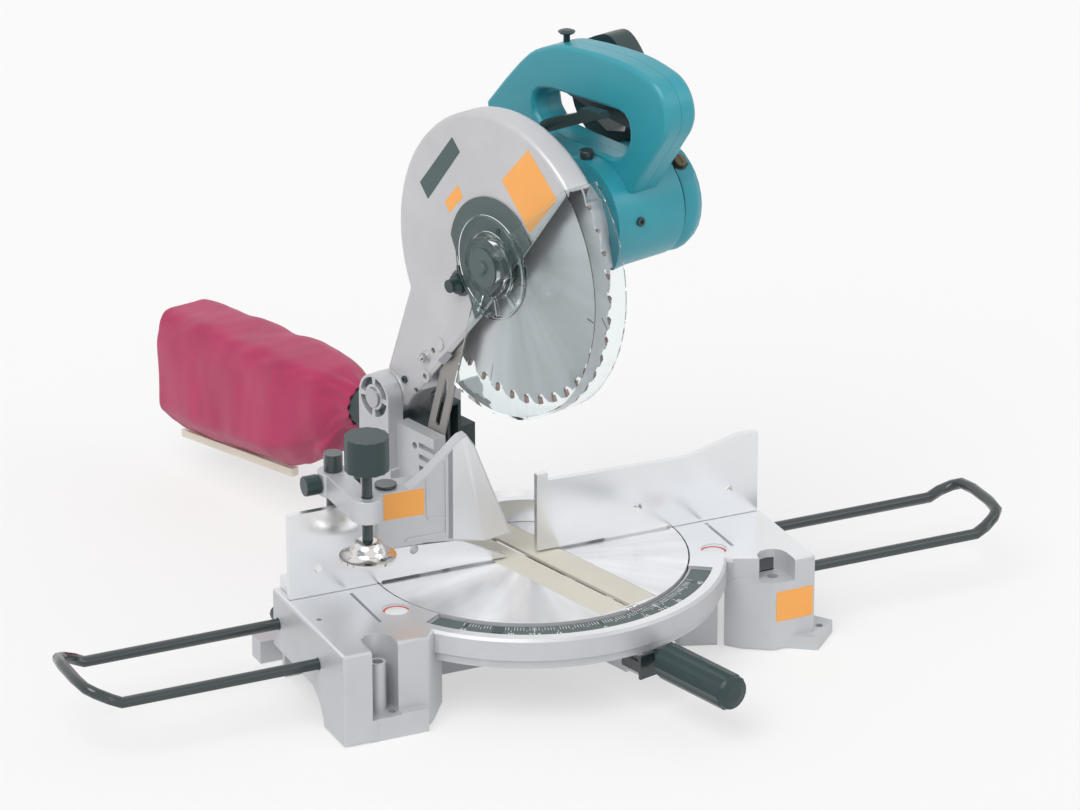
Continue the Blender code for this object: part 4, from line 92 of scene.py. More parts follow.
def feed(tree, value, target):
    # a number is set on an input, the output of a node is linked to it
    if isinstance(value, (int, float)):
        target.default_value = value
    else:
        tree.links.new(value, target)


def math2(tree, operation, first, second):
    node = tree.nodes.new("ShaderNodeMath")
    node.operation = operation
    feed(tree, first, node.inputs[0])
    feed(tree, second, node.inputs[1])
    return node.outputs[0]


def partsOf(tree, vector):
    node = tree.nodes.new("ShaderNodeSeparateXYZ")
    tree.links.new(vector, node.inputs[0])
    return node.outputs["X"], node.outputs["Y"], node.outputs["Z"]


def vectorOf(tree, x=0, y=0, z=0):
    node = tree.nodes.new("ShaderNodeCombineXYZ")
    for value, target in zip((x, y, z), node.inputs):
        feed(tree, value, target)
    return node.outputs[0]


def seen(tree):
    # 1 for what the camera, clear plastic and reflections see, 0 for the light that falls on the saw
    path = tree.nodes.new("ShaderNodeLightPath").outputs
    straight = math2(tree, "MAXIMUM", path["Is Camera Ray"], path["Is Transmission Ray"])
    return math2(tree, "MAXIMUM", straight, path["Is Glossy Ray"])


def setWorld():
    world = bpy.data.worlds.new("studio")
    bpy.context.scene.world = world
    world.use_nodes = True
    tree = world.node_tree
    tree.nodes.clear()
    out = tree.nodes.new("ShaderNodeOutputWorld")
    soft = tree.nodes.new("ShaderNodeBackground")
    soft.inputs["Strength"].default_value = light["world"]
    white = tree.nodes.new("ShaderNodeBackground")
    white.inputs["Strength"].default_value = 1
    for node in (soft, white):
        node.inputs["Color"].default_value = (1, 1, 1, 1)
    mix = tree.nodes.new("ShaderNodeMixShader")
    tree.links.new(seen(tree), mix.inputs[0])
    tree.links.new(soft.outputs[0], mix.inputs[1])
    tree.links.new(white.outputs[0], mix.inputs[2])
    tree.links.new(mix.outputs[0], out.inputs["Surface"])


def setFloor():
    mesh = bpy.data.meshes.new("floor")
    far = light["floorHalf"]
    mesh.from_pydata([(-far, -far, 0), (far, -far, 0), (far, far, 0), (-far, far, 0)], [], [(0, 1, 2, 3)])
    floor = newPiece("floor", mesh)
    floor.location.z = -light["floorDrop"]
    material = bpy.data.materials.new("floorWhite")
    material.use_nodes = True
    tree = material.node_tree
    shader = tree.nodes["Principled BSDF"]
    shader.inputs["Base Color"].default_value = (light["floor"],) * 3 + (1,)
    shader.inputs["Roughness"].default_value = 1
    shader.inputs["Specular IOR Level"].default_value = 0
    glow = tree.nodes.new("ShaderNodeEmission")
    glow.inputs["Strength"].default_value = 1
    mix = tree.nodes.new("ShaderNodeMixShader")
    tree.links.new(math2(tree, "MULTIPLY", seen(tree), light["floorGlow"]), mix.inputs[0])
    tree.links.new(shader.outputs[0], mix.inputs[1])
    tree.links.new(glow.outputs[0], mix.inputs[2])
    tree.links.new(mix.outputs[0], tree.nodes["Material Output"].inputs["Surface"])
    mesh.materials.append(material)
    floor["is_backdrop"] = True


def setLights():
    for name, strength, turn, colour in (("key", light["key"], (38, 0, -52), (1, 0.99, 0.97)),
                                         ("fill", light["fill"], (60, 0, 48), (0.95, 0.97, 1))):
        data = bpy.data.lights.new(name, "SUN")
        data.energy = strength
        data.angle = math.radians(light["softness"])
        data.color = colour
        lamp = newPiece(name, data)
        lamp.rotation_euler = [math.radians(value) for value in turn]


def setCards():
    # grey and blue cards that only reflections see, as a studio has them round bare metal
    cards = (("cardLeft", (-3.2, -1.2, 1.5), (0, 78, 12), (1.6, 3.2), (0.42, 0.49, 0.56)),
             ("cardHigh", (0.6, -1.9, 3.4), (-20, 0, 10), (3.0, 0.8), (0.52, 0.56, 0.62)),
             ("cardRight", (3.0, -1.6, 0.9), (0, -80, -20), (1.2, 2.4), (0.60, 0.62, 0.68)))
    for name, place, turn, size, colour in cards:
        mesh = bpy.data.meshes.new(name)
        w, h = size[0] / 2, size[1] / 2
        mesh.from_pydata([(-w, -h, 0), (w, -h, 0), (w, h, 0), (-w, h, 0)], [], [(0, 1, 2, 3)])
        card = newPiece(name, mesh)
        card.location = place
        card.rotation_euler = [math.radians(value) for value in turn]
        card.visible_camera = card.visible_diffuse = card.visible_shadow = card.visible_transmission = False
        material = bpy.data.materials.new(name)
        material.use_nodes = True
        tree = material.node_tree
        glow = tree.nodes.new("ShaderNodeEmission")
        glow.inputs["Color"].default_value = (*colour, 1)
        tree.links.new(glow.outputs[0], tree.nodes["Material Output"].inputs["Surface"])
        mesh.materials.append(material)
        card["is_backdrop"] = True


setCamera()
setWorld()
setFloor()
setLights()
setCards()
print("camera, floor and light are set")


# shared shader groups

# noise sizes, ends of the colour ramp, spread of the roughness, strength and depth of the bump
marks = {
    "grain": {"broad": 17, "ramp": (0.3, 0.7), "rough": 0.06, "depth": 0.0004, "change": 0.05},
    "brushed": {"band": 0.07, "ramp": (0.35, 0.65), "rough": (-0.04, 0.05), "bump": (0.012, 0.0001)},
    "turned": {"turn": 0.6, "rise": 2, "ramp": (0.36, 0.64), "rough": (-0.07, 0.09), "bump": (0.04, 0.0001)},
    "cloth": {"wear": 26, "tone": (0.86, 1.12), "ramp": (0.3, 0.7), "rough": (0.78, 0.95),
              "bump": (0.35, 0.0002), "sheen": 0.25, "sheenRough": 0.5},
    "clear": {"grain": 60, "rough": 0.01, "bump": (0.02, 0.0002)},
}


def startTree(kind, name, inputs, outputs):
    # a node group, its sockets given as label: form
    tree = bpy.data.node_groups.new(name, kind + "NodeTree")
    for way, sockets in (("INPUT", inputs), ("OUTPUT", outputs)):
        for label, form in sockets.items():
            tree.interface.new_socket(name=label, in_out=way, socket_type="NodeSocket" + form)
    return tree, tree.nodes.new("NodeGroupInput"), tree.nodes.new("NodeGroupOutput")


def noiseNode(tree, vector, scale, detail=2.0, rough=0.5):
    node = tree.nodes.new("ShaderNodeTexNoise")
    tree.links.new(vector, node.inputs["Vector"])
    feed(tree, scale, node.inputs["Scale"])
    node.inputs["Detail"].default_value = detail
    node.inputs["Roughness"].default_value = rough
    return node.outputs["Fac"]


def grainGroup():
    tree, start, end = startTree("Shader", "grain", {"Vector": "Vector", "Scale": "Float"},
                                 {"Height": "Float", "Mottle": "Float"})
    fine = noiseNode(tree, start.outputs["Vector"], start.outputs["Scale"], 3)
    broad = noiseNode(tree, start.outputs["Vector"], marks["grain"]["broad"], 4, 0.6)
    tree.links.new(fine, end.inputs["Height"])
    tree.links.new(broad, end.inputs["Mottle"])
    return tree


def brushGroup():
    # the group gives fine milling lines, and broad bands of painted reflection: darker streaks painted into
    # the colour
    # long fine lines left by milling: the vector is stretched along the stroke before it gets here
    tree, start, end = startTree("Shader", "brushed", {"Vector": "Vector"},
                                 {"Lines": "Float", "PaintedReflectionBands": "Float"})
    lines = noiseNode(tree, start.outputs["Vector"], 1, 2)
    broad = noiseNode(tree, start.outputs["Vector"], marks["brushed"]["band"], 2)
    tree.links.new(lines, end.inputs["Lines"])
    tree.links.new(broad, end.inputs["PaintedReflectionBands"])
    return tree


def polarGroup():
    # turning marks: rings round the centre, and the painted fan of light that they throw
    inputs = {"Vector": "Vector", "Rings": "Float", "Fan": "Float"}
    tree, start, end = startTree("Shader", "turningMarksAndPaintedFan", inputs, {"Lines": "Float", "PaintedFan": "Float"})
    x, y, z = partsOf(tree, start.outputs["Vector"])
    angle = math2(tree, "ARCTAN2", y, x)
    length = tree.nodes.new("ShaderNodeVectorMath")
    length.operation = "LENGTH"
    tree.links.new(vectorOf(tree, x, y), length.inputs[0])
    radius = length.outputs["Value"]
    ring = vectorOf(tree, math2(tree, "MULTIPLY", radius, start.outputs["Rings"]),
                    math2(tree, "MULTIPLY", angle, marks["turned"]["turn"]))
    tree.links.new(noiseNode(tree, ring, 1, 2), end.inputs["Lines"])
    fan = vectorOf(tree, math2(tree, "COSINE", angle, 0), math2(tree, "SINE", angle, 0),
                   math2(tree, "MULTIPLY", radius, marks["turned"]["rise"]))
    tree.links.new(noiseNode(tree, fan, start.outputs["Fan"], 3, 0.6), end.inputs["PaintedFan"])
    return tree


def weaveGroup():
    tree, start, end = startTree("Shader", "weave", {"Vector": "Vector", "Threads": "Float"},
                                 {"Height": "Float", "Wear": "Float"})
    x, y, z = partsOf(tree, start.outputs["Vector"])
    warp = math2(tree, "SINE", math2(tree, "MULTIPLY", x, start.outputs["Threads"]), 0)
    weft = math2(tree, "SINE", math2(tree, "MULTIPLY", y, start.outputs["Threads"]), 0)
    tree.links.new(math2(tree, "MULTIPLY", warp, weft), end.inputs["Height"])
    wear = noiseNode(tree, start.outputs["Vector"], marks["cloth"]["wear"], 5, 0.65)
    tree.links.new(wear, end.inputs["Wear"])
    return tree


groups = {"grain": grainGroup(), "brushed": brushGroup(), "polar": polarGroup(), "weave": weaveGroup()}


# materials

def place(tree, group, name):
    node = tree.nodes.new("ShaderNodeGroup")
    node.node_tree = group
    node.label = name
    return node


def mapped(tree, output="Object", rotation=(0, 0, 0), scale=(1, 1, 1)):
    coord = tree.nodes.new("ShaderNodeTexCoord")
    mapping = tree.nodes.new("ShaderNodeMapping")
    mapping.inputs["Rotation"].default_value = rotation
    mapping.inputs["Scale"].default_value = scale
    tree.links.new(coord.outputs[output], mapping.inputs["Vector"])
    return mapping.outputs[0]


def blendColour(tree, factor, dark, pale, shader, span):
    ramp = tree.nodes.new("ShaderNodeValToRGB")
    for stop, position, colour in zip(ramp.color_ramp.elements, span, (dark, pale)):
        stop.position = position
        stop.color = (*colour, 1)
    tree.links.new(factor, ramp.inputs["Fac"])
    tree.links.new(ramp.outputs["Color"], shader.inputs["Base Color"])


def spreadRough(tree, factor, low, high, shader):
    node = tree.nodes.new("ShaderNodeMapRange")
    node.inputs["To Min"].default_value = low
    node.inputs["To Max"].default_value = high
    tree.links.new(factor, node.inputs["Value"])
    tree.links.new(node.outputs[0], shader.inputs["Roughness"])


def bumped(tree, height, shader, strength, distance):
    bump = tree.nodes.new("ShaderNodeBump")
    bump.inputs["Strength"].default_value = strength
    bump.inputs["Distance"].default_value = distance
    tree.links.new(height, bump.inputs["Height"])
    tree.links.new(bump.outputs[0], shader.inputs["Normal"])


def shade(colour, share):
    return tuple(min(1, value * share) for value in colour)


def startMaterial(name, look):
    material = bpy.data.materials.new(name)
    material.use_nodes = True
    shader = material.node_tree.nodes["Principled BSDF"]
    shader.inputs["Metallic"].default_value = look.get("metal", 0)
    shader.inputs["Roughness"].default_value = look["rough"]
    shader.inputs["Coat Weight"].default_value = look.get("coat", 0)
    shader.inputs["Coat Roughness"].default_value = look.get("coatRough", 0.1)
    shader.inputs["Base Color"].default_value = (*look["colour"], 1)
    return material, material.node_tree, shader


def grainMaterial(name, look):
    # cast, painted and moulded surfaces: a fine grain, and a slow change of tone
    material, tree, shader = startMaterial(name, look)
    group = place(tree, groups["grain"], "grain")
    group.inputs["Scale"].default_value = look["grain"]
    tree.links.new(mapped(tree), group.inputs["Vector"])
    mark = marks["grain"]
    change = look.get("change", mark["change"])
    dark, pale = shade(look["colour"], 1 - change), shade(look["colour"], 1 + change)
    blendColour(tree, group.outputs["Mottle"], dark, pale, shader, mark["ramp"])
    low, high = look["rough"] - mark["rough"], look["rough"] + mark["rough"]
    spreadRough(tree, group.outputs["Mottle"], low, high, shader)
    bumped(tree, group.outputs["Height"], shader, look["bump"], mark["depth"])
    return material


def brushedMaterial(name, look):
    material, tree, shader = startMaterial(name, look)
    group = place(tree, groups["brushed"], "milled lines and painted reflections")
    tree.links.new(mapped(tree, scale=look["stretch"]), group.inputs["Vector"])
    mark = marks["brushed"]
    # painted reflection: the broad bands blend the colour towards a darker bluish tint, streaks of reflection
    # painted on
    blendColour(tree, group.outputs["PaintedReflectionBands"], look["paintedReflectionTint"], look["colour"], shader, mark["ramp"])
    low, high = (look["rough"] + value for value in mark["rough"])
    spreadRough(tree, group.outputs["Lines"], low, high, shader)
    bumped(tree, group.outputs["Lines"], shader, *mark["bump"])
    return material


def turnedMaterial(name, look):
    material, tree, shader = startMaterial(name, look)
    group = place(tree, groups["polar"], "turning marks and painted fan")
    group.inputs["Rings"].default_value = look["rings"]
    group.inputs["Fan"].default_value = look["fan"]
    if look.get("upright"):                     # the blade's plane: square it, then look along its shaft
        x, y, z = partsOf(tree, mapped(tree, rotation=(0, 0, -math.radians(saw["mitre"]))))
        vector = vectorOf(tree, math2(tree, "SUBTRACT", y, saw["bladeY"]),
                          math2(tree, "SUBTRACT", z, saw["bladeZ"]))
    else:
        vector = mapped(tree)
    tree.links.new(vector, group.inputs["Vector"])
    mark = marks["turned"]
    # painted highlight: the fan darkens and lightens the colour, as light caught by the turning marks
    dark, pale = shade(look["colour"], look["dark"]), shade(look["colour"], look["pale"])
    blendColour(tree, group.outputs["PaintedFan"], dark, pale, shader, mark["ramp"])
    low, high = (look["rough"] + value for value in mark["rough"])
    spreadRough(tree, group.outputs["Lines"], low, high, shader)
    bumped(tree, group.outputs["Lines"], shader, *mark["bump"])
    return material


def clothMaterial(name, look):
    material, tree, shader = startMaterial(name, look)
    group = place(tree, groups["weave"], "weave")
    group.inputs["Threads"].default_value = look["threads"]
    tree.links.new(mapped(tree, "UV"), group.inputs["Vector"])
    mark = marks["cloth"]
    dark, pale = (shade(look["colour"], share) for share in mark["tone"])
    blendColour(tree, group.outputs["Wear"], dark, pale, shader, mark["ramp"])
    spreadRough(tree, group.outputs["Wear"], *mark["rough"], shader)
    bumped(tree, group.outputs["Height"], shader, *mark["bump"])
    shader.inputs["Sheen Weight"].default_value = mark["sheen"]
    shader.inputs["Sheen Roughness"].default_value = mark["sheenRough"]
    return material


def clearMaterial(name, look):
    material, tree, shader = startMaterial(name, look)
    shader.inputs["Transmission Weight"].default_value = 1
    shader.inputs["IOR"].default_value = look["ior"]
    group = place(tree, groups["grain"], "grain")
    group.inputs["Scale"].default_value = marks["clear"]["grain"]
    tree.links.new(mapped(tree), group.inputs["Vector"])
    spreadRough(tree, group.outputs["Mottle"], marks["clear"]["rough"], look["rough"] * 2, shader)
    bumped(tree, group.outputs["Height"], shader, *marks["clear"]["bump"])
    return material


def grained(colour, rough, metal, grain, bump, **more):
    # grain is its size, bump its strength; more may hold change, coat and coatRough
    look = {"colour": colour, "rough": rough, "metal": metal, "grain": grain, "bump": bump, **more}
    return grainMaterial, look


finishes = {
    "cast": grained((0.555, 0.565, 0.59), 0.42, 0.35, 1300, 0.16),
    "castFlat": grained((0.555, 0.555, 0.575), 0.4, 0.3, 1500, 0.06, coat=0.15, coatRough=0.25),
    # the fence and machined metal carry painted reflections: their second colour is the darker bluish tint of
    # the bands
    "fence": (brushedMaterial, {"colour": (0.86, 0.855, 0.86), "paintedReflectionTint": (0.72, 0.745, 0.775), "rough": 0.24,
                                "metal": 0.95, "stretch": (7, 42, 42)}),
    "machined": (brushedMaterial, {"colour": (0.84, 0.84, 0.85), "paintedReflectionTint": (0.72, 0.735, 0.76), "rough": 0.30,
                                   "metal": 0.9, "stretch": (26, 20, 20)}),
    # the table and the blade carry a painted highlight: dark and pale are the shares of the colour across its
    # fan
    "table": (turnedMaterial, {"colour": (0.82, 0.815, 0.825), "rough": 0.30, "metal": 0.92, "rings": 1500,
                               "fan": 2.2, "dark": 0.78, "pale": 1.08}),
    "blade": (turnedMaterial, {"colour": (0.60, 0.60, 0.62), "rough": 0.30, "metal": 0.85, "rings": 1300,
                               "fan": 1.5, "upright": True, "dark": 0.84, "pale": 1.12}),
    "teal": grained((0.022, 0.3, 0.375), 0.36, 0, 1800, 0.07, change=0.03, coat=0.12, coatRough=0.3),
    "blackPlastic": grained((0.019, 0.041, 0.045), 0.34, 0, 1500, 0.12),
    "blackSteel": grained((0.018, 0.03, 0.032), 0.24, 0, 900, 0.04, coat=0.6, coatRough=0.12),
    "slate": grained((0.085, 0.118, 0.118), 0.48, 0.2, 1400, 0.08),
    "steel": grained((0.5, 0.5, 0.52), 0.3, 0.95, 700, 0.05),
    "linkPlate": grained((0.33, 0.315, 0.3), 0.42, 0.6, 900, 0.05),
    "nickel": grained((0.72, 0.7, 0.68), 0.14, 1, 500, 0.03),
    "board": grained((0.66, 0.62, 0.54), 0.5, 0, 1200, 0.08, change=0.04),
    "clear": (clearMaterial, {"colour": (0.90, 0.95, 0.955), "rough": 0.03, "ior": 1.24}),
    "rubber": grained((0.03, 0.048, 0.05), 0.55, 0, 1100, 0.2),
    "cloth": (clothMaterial, {"colour": (0.43, 0.028, 0.105), "rough": 0.88, "threads": 5200}),
    "cream": grained((0.8, 0.765, 0.65), 0.42, 0, 900, 0.05),
    "copper": grained((0.55, 0.25, 0.12), 0.35, 0.9, 1500, 0.3),
    "orange": grained((0.93, 0.41, 0.09), 0.34, 0, 600, 0.02, change=0.03),
    "darkLabel": grained((0.055, 0.095, 0.095), 0.3, 0, 600, 0.02),
    "redInk": grained((0.62, 0.06, 0.05), 0.4, 0, 600, 0.02),
    "whiteInk": grained((0.8, 0.82, 0.82), 0.45, 0, 900, 0.02),
    "scaleBand": grained((0.075, 0.105, 0.105), 0.42, 0, 1200, 0.04),
    # painted shade: the dark grey laid in grooves and on a pocket floor, where shade falls
    "recessShade": grained((0.3, 0.32, 0.345), 0.4, 0.5, 900, 0.05),
    "brown": grained((0.13, 0.085, 0.03), 0.4, 0, 900, 0.05),
    "carbide": grained((0.3, 0.2, 0.16), 0.35, 0.7, 900, 0.05),
}
paint = {name: make(name, look) for name, (make, look) in finishes.items()}
print(len(paint), "materials are made")


# dressing the frame: the finish of each solid, and the width of the soft edges of its merged skin

dress = {
    "base_casting": ("cast", 0.0009), "sub_fence": ("cast", 0.0006), "bevel_arm": ("cast", 0.0006),
    "blade_case": ("castFlat", 0), "gear_housing": ("cast", 0), "vise_arm": ("cast", 0.0008),
    "guide_fence": ("fence", 0.0003), "turntable": ("table", 0), "motor_housing": ("teal", 0),
    "motor_end_cover": ("teal", 0), "handle_left": ("teal", 0), "handle_right": ("teal", 0),
    "sub_fence_pin": ("blackSteel", 0.0004), "vise_rod_lock_screw": ("blackPlastic", 0.0005),
    "holder_lock_left": ("blackPlastic", 0.0005), "holder_lock_right": ("blackPlastic", 0.0005),
    "vise_arm_screw": ("blackPlastic", 0.0005), "vise_screw": ("blackPlastic", 0),
    "mitre_grip": ("blackPlastic", 0), "mitre_lock_lever": ("blackPlastic", 0.0004),
    "bevel_lock_lever": ("blackPlastic", 0.0004), "trigger_switch": ("blackPlastic", 0),
    "trigger": ("blackPlastic", 0.0004), "lock_off_button": ("blackPlastic", 0),
    "release_lever": ("blackPlastic", 0.0004), "carrying_handle": ("blackPlastic", 0),
    "vise_rod": ("blackSteel", 0), "work_holder_left": ("blackSteel", 0),
    "work_holder_right": ("blackSteel", 0), "lever_bracket": ("blackSteel", 0.0004),
    "mitre_scale_plate": ("scaleBand", 0), "centre_cover": ("slate", 0.0004),
    "guard_retainer": ("slate", 0), "guard_link": ("linkPlate", 0), "inner_flange": ("slate", 0),
    "outer_flange": ("slate", 0), "fence_bolt_left": ("steel", 0), "fence_bolt_right": ("steel", 0),
    "mitre_pivot_bolt": ("steel", 0), "bevel_pivot_bolt": ("steel", 0), "head_pivot_rod": ("steel", 0),
    "return_spring": ("steel", 0), "centre_cover_bolt": ("blackPlastic", 0), "blade_bolt": ("steel", 0),
    "spindle": ("steel", 0), "armature": ("copper", 0), "brush_upper": ("blackPlastic", 0),
    "brush_lower": ("blackPlastic", 0), "saw_blade": ("blade", 0), "vise_foot": ("nickel", 0),
    "spindle_bearing": ("nickel", 0), "armature_bearing": ("nickel", 0),
    "kerf_board_left": ("board", 0.0002), "kerf_board_right": ("board", 0.0002),
    "blade_guard": ("clear", 0), "mitre_pointer": ("clear", 0), "dust_chute": ("rubber", 0.0006),
    "dust_bag": ("cloth", 0), "dust_bag_rail": ("cream", 0.0004), "stator": ("copper", 0),
}
# nodes inside the housings, and the bag that the cloth replaces
hidden = ("trigger_switch", "spindle_bearing", "armature_bearing", "stator", "armature", "spindle",
          "dust_bag")
# metres, degrees and steps
skin = {"weld": 0.000002, "flat": 0.4, "sharp": 34, "edgeFrom": 40, "edgeSteps": 2, "weight": 80}


def settled(piece):
    # the finished mesh of a piece, its modifiers applied
    depsgraph = bpy.context.evaluated_depsgraph_get()
    mesh = bpy.data.meshes.new_from_object(piece.evaluated_get(depsgraph))
    piece.modifiers.clear()
    piece.data = mesh


def weighted(piece):
    modifier = piece.modifiers.new("weight", "WEIGHTED_NORMAL")
    modifier.keep_sharp = True
    modifier.weight = skin["weight"]


def softened(piece, edge):
    bevel = piece.modifiers.new("edges", "BEVEL")
    bevel.width = edge
    bevel.segments = skin["edgeSteps"]
    bevel.limit_method = "ANGLE"
    bevel.angle_limit = math.radians(skin["edgeFrom"])


def across(point):
    # the place along the blade's shaft
    return point.x * turned[0][0] + point.y * turned[1][0]


def floorAt(normal, spot, place, room):
    # a face square to the blade's shaft, at a place along it
    return abs(across(normal)) > 0.9 and abs(across(spot) - place) < room


# faces of a casting that carry a second finish: milled tops, and painted shade, dark slate on the floors of
# pockets and holes
levels = {"wingTop": 0.0845, "armPocket": (-0.0310, 0.0004), "caseHole": (-0.0152, 0.0003)}
second = {
    "base_casting": ("machined", lambda normal, spot: normal.z > 0.9 and spot.z > levels["wingTop"]),
    "turntable": ("cast", lambda normal, spot: abs(normal.z) < 0.5),
    # painted shade: slate on the floors of the arm's pockets and the case's holes, where shade falls
    "bevel_arm": ("slate", lambda normal, spot: floorAt(normal, spot, *levels["armPocket"])),
    "blade_case": ("slate", lambda normal, spot: floorAt(normal, spot, *levels["caseHole"])),
}
crisp = {"vise_screw": 14, "mitre_grip": 14}                        # knobs whose flutes stay sharp


def surfaced(mesh, finish, sharp):
    mesh.materials.clear()
    mesh.materials.append(paint[finish])
    mesh.shade_smooth()
    mesh.set_sharp_from_angle(angle=math.radians(sharp))


def dressNode(node, look, edge):
    mesh = nodes[node].data.copy()
    sheet = bmesh.new()
    sheet.from_mesh(mesh)
    bmesh.ops.remove_doubles(sheet, verts=sheet.verts, dist=skin["weld"])
    flat = math.radians(skin["flat"])
    bmesh.ops.dissolve_limit(sheet, angle_limit=flat, verts=sheet.verts, edges=sheet.edges)
    sheet.to_mesh(mesh)
    sheet.free()
    surfaced(mesh, look, crisp.get(node, skin["sharp"]))
    piece = newPiece(node + "_finished", mesh)
    if edge:
        softened(piece, edge)
    weighted(piece)
    settled(piece)
    if node in second:
        finish, chosen = second[node]
        piece.data.materials.append(paint[finish])
        for face in piece.data.polygons:
            if chosen(face.normal, face.center):
                face.material_index = 1
    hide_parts(node)
    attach(piece, bodyOf[node])


for node, (look, edge) in dress.items():
    nodes[node].data.materials.clear()
    nodes[node].data.materials.append(paint[look])
    if node not in hidden:
        dressNode(node, look, edge)
print("the frame is dressed")


# pieces that the solids leave out


def pieceFrom(name, shape, finish, body, matrix, sharp=skin["sharp"], edge=0):
    mesh = bpy.data.meshes.new(name)
    mesh.from_pydata([tuple(matrix @ Vector(point)) for point in shape[0]], [], shape[1])
    sheet = bmesh.new()
    sheet.from_mesh(mesh)
    bmesh.ops.remove_doubles(sheet, verts=sheet.verts, dist=skin["weld"])
    bmesh.ops.recalc_face_normals(sheet, faces=sheet.faces)
    sheet.to_mesh(mesh)
    sheet.free()
    surfaced(mesh, finish, sharp)
    piece = newPiece(name, mesh)
    if edge:
        softened(piece, edge)
        settled(piece)
    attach(piece, body)


def bands(rows, steps, closed=False):
    # the faces between rings of points that follow each other in a list
    faces = []
    for row in range(rows if closed else rows - 1):
        low, high = row * steps, (row + 1) % rows * steps
        for i in range(steps):
            j = (i + 1) % steps
            faces.append((low + i, low + j, high + j, high + i))
    return faces


def ends(rows, steps):
    # the two faces that close a stack of rings
    return [tuple(reversed(range(steps))), tuple((rows - 1) * steps + i for i in range(steps))]


def ringPoints(profile, steps):
    verts = []
    for radius, height in profile:
        for i in range(steps):
            a = 2 * math.pi * i / steps
            verts.append((radius * math.cos(a), radius * math.sin(a), height))
    return verts


def roundBody(profile, steps=32):
    # profile: (radius, height) pairs turned about the z axis, closed at both ends
    return ringPoints(profile, steps), bands(len(profile), steps) + ends(len(profile), steps)


def ringShape(inner, outer, low, high, steps=40):
    profile = ((inner, low), (outer, low), (outer, high), (inner, high))
    return ringPoints(profile, steps), bands(len(profile), steps, closed=True)


def bar(x0, y0, x1, y1):
    return (x0, y0), (x1, y0), (x1, y1), (x0, y1)


def slab(corners, low, high, rounding=0, steps=4):
    # a flat plate on (u, v) corners between two heights, its corners rounded
    outline = []
    count = len(corners)
    for i, corner in enumerate(corners):
        point = Vector(corner)
        if not rounding:
            outline.append(point)
            continue
        before = (Vector(corners[i - 1]) - point).normalized() * rounding
        after = (Vector(corners[(i + 1) % count]) - point).normalized() * rounding
        for k in range(steps + 1):
            t = k / steps
            outline.append(point + before * (1 - t) ** 2 + after * t ** 2)
    n = len(outline)
    verts = [(p.x, p.y, low) for p in outline] + [(p.x, p.y, high) for p in outline]
    return verts, ends(2, n) + bands(2, n)


def merged(*shapes):
    verts, faces = [], []
    for points, polygons in shapes:
        start = len(verts)
        verts += [tuple(point) for point in points]
        faces += [tuple(i + start for i in polygon) for polygon in polygons]
    return verts, faces


def raised(shape, height):
    return [(x, y, z + height) for x, y, z in shape[0]], shape[1]


def facing(place, normal, up=(0, 0, 1)):
    # a matrix that puts the z axis on a normal at a place
    z = Vector(normal).normalized()
    x = Vector(up).cross(z).normalized()
    turn = Matrix((x, z.cross(x), z)).transposed().to_4x4()
    return Matrix.Translation(place) @ turn


# local x, y, z of a flat piece go to depth, height, width
side = Matrix(((0, 0, 1, 0), (1, 0, 0, 0), (0, 1, 0, 0), (0, 0, 0, 1)))
# to width, height and the front
front = Matrix(((1, 0, 0, 0), (0, 0, -1, 0), (0, 1, 0, 0), (0, 0, 0, 1)))
# z faces the blade side
left = Matrix(((0, 0, -1, 0), (-1, 0, 0, 0), (0, 1, 0, 0), (0, 0, 0, 1)))


def onSide(x, y=0, z=0):
    return turned @ Matrix.Translation((x, y, z)) @ side


def onLeft(x, y, z):
    return turned @ Matrix.Translation((x, y, z)) @ left


# rows of one shape, set by Geometry Nodes

def setOut(tree, end, points, solid, finish):
    # the solid on each point, made real and given its finish
    spots = tree.nodes.new("GeometryNodeInstanceOnPoints")
    tree.links.new(points, spots.inputs["Points"])
    tree.links.new(solid.outputs["Mesh"], spots.inputs["Instance"])
    real = tree.nodes.new("GeometryNodeRealizeInstances")
    tree.links.new(spots.outputs["Instances"], real.inputs["Geometry"])
    coat = tree.nodes.new("GeometryNodeSetMaterial")
    coat.inputs["Material"].default_value = paint[finish]
    tree.links.new(real.outputs["Geometry"], coat.inputs["Geometry"])
    tree.links.new(coat.outputs["Geometry"], end.inputs["Geometry"])
    return spots


def rowPiece(name, tree, values, body, matrix):
    piece = newPiece(name, bpy.data.meshes.new(name))
    modifier = piece.modifiers.new("row", "NODES")
    modifier.node_group = tree
    for item in tree.interface.items_tree:
        if item.in_out == "INPUT":
            modifier[item.identifier] = values[item.name]
    settled(piece)
    piece.data.transform(matrix)
    piece.data.shade_flat()
    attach(piece, body)


def arcRow(name, body, finish, row, matrix):
    # boxes along an arc, each one turned with it
    inputs = {"count": "Int", "radius": "Float", "start": "Float", "sweep": "Float", "size": "Vector"}
    tree, start, end = startTree("Geometry", "arcRow", inputs, {"Geometry": "Geometry"})
    arc = tree.nodes.new("GeometryNodeCurveArc")
    arc.mode = "RADIUS"
    wanted = {"count": "Resolution", "radius": "Radius", "start": "Start Angle", "sweep": "Sweep Angle"}
    for given, into in wanted.items():
        tree.links.new(start.outputs[given], arc.inputs[into])
    points = tree.nodes.new("GeometryNodeCurveToPoints")
    points.mode = "EVALUATED"
    tree.links.new(arc.outputs["Curve"], points.inputs["Curve"])
    solid = tree.nodes.new("GeometryNodeMeshCube")
    tree.links.new(start.outputs["size"], solid.inputs["Size"])
    spots = setOut(tree, end, points.outputs["Points"], solid, finish)
    x, y, z = partsOf(tree, tree.nodes.new("GeometryNodeInputPosition").outputs[0])
    spin = tree.nodes.new("FunctionNodeEulerToRotation")
    tree.links.new(vectorOf(tree, z=math2(tree, "ARCTAN2", y, x)), spin.inputs[0])
    tree.links.new(spin.outputs[0], spots.inputs["Rotation"])
    values = {**row, "start": math.radians(row["start"]), "sweep": math.radians(row["sweep"])}
    rowPiece(name, tree, values, body, matrix)


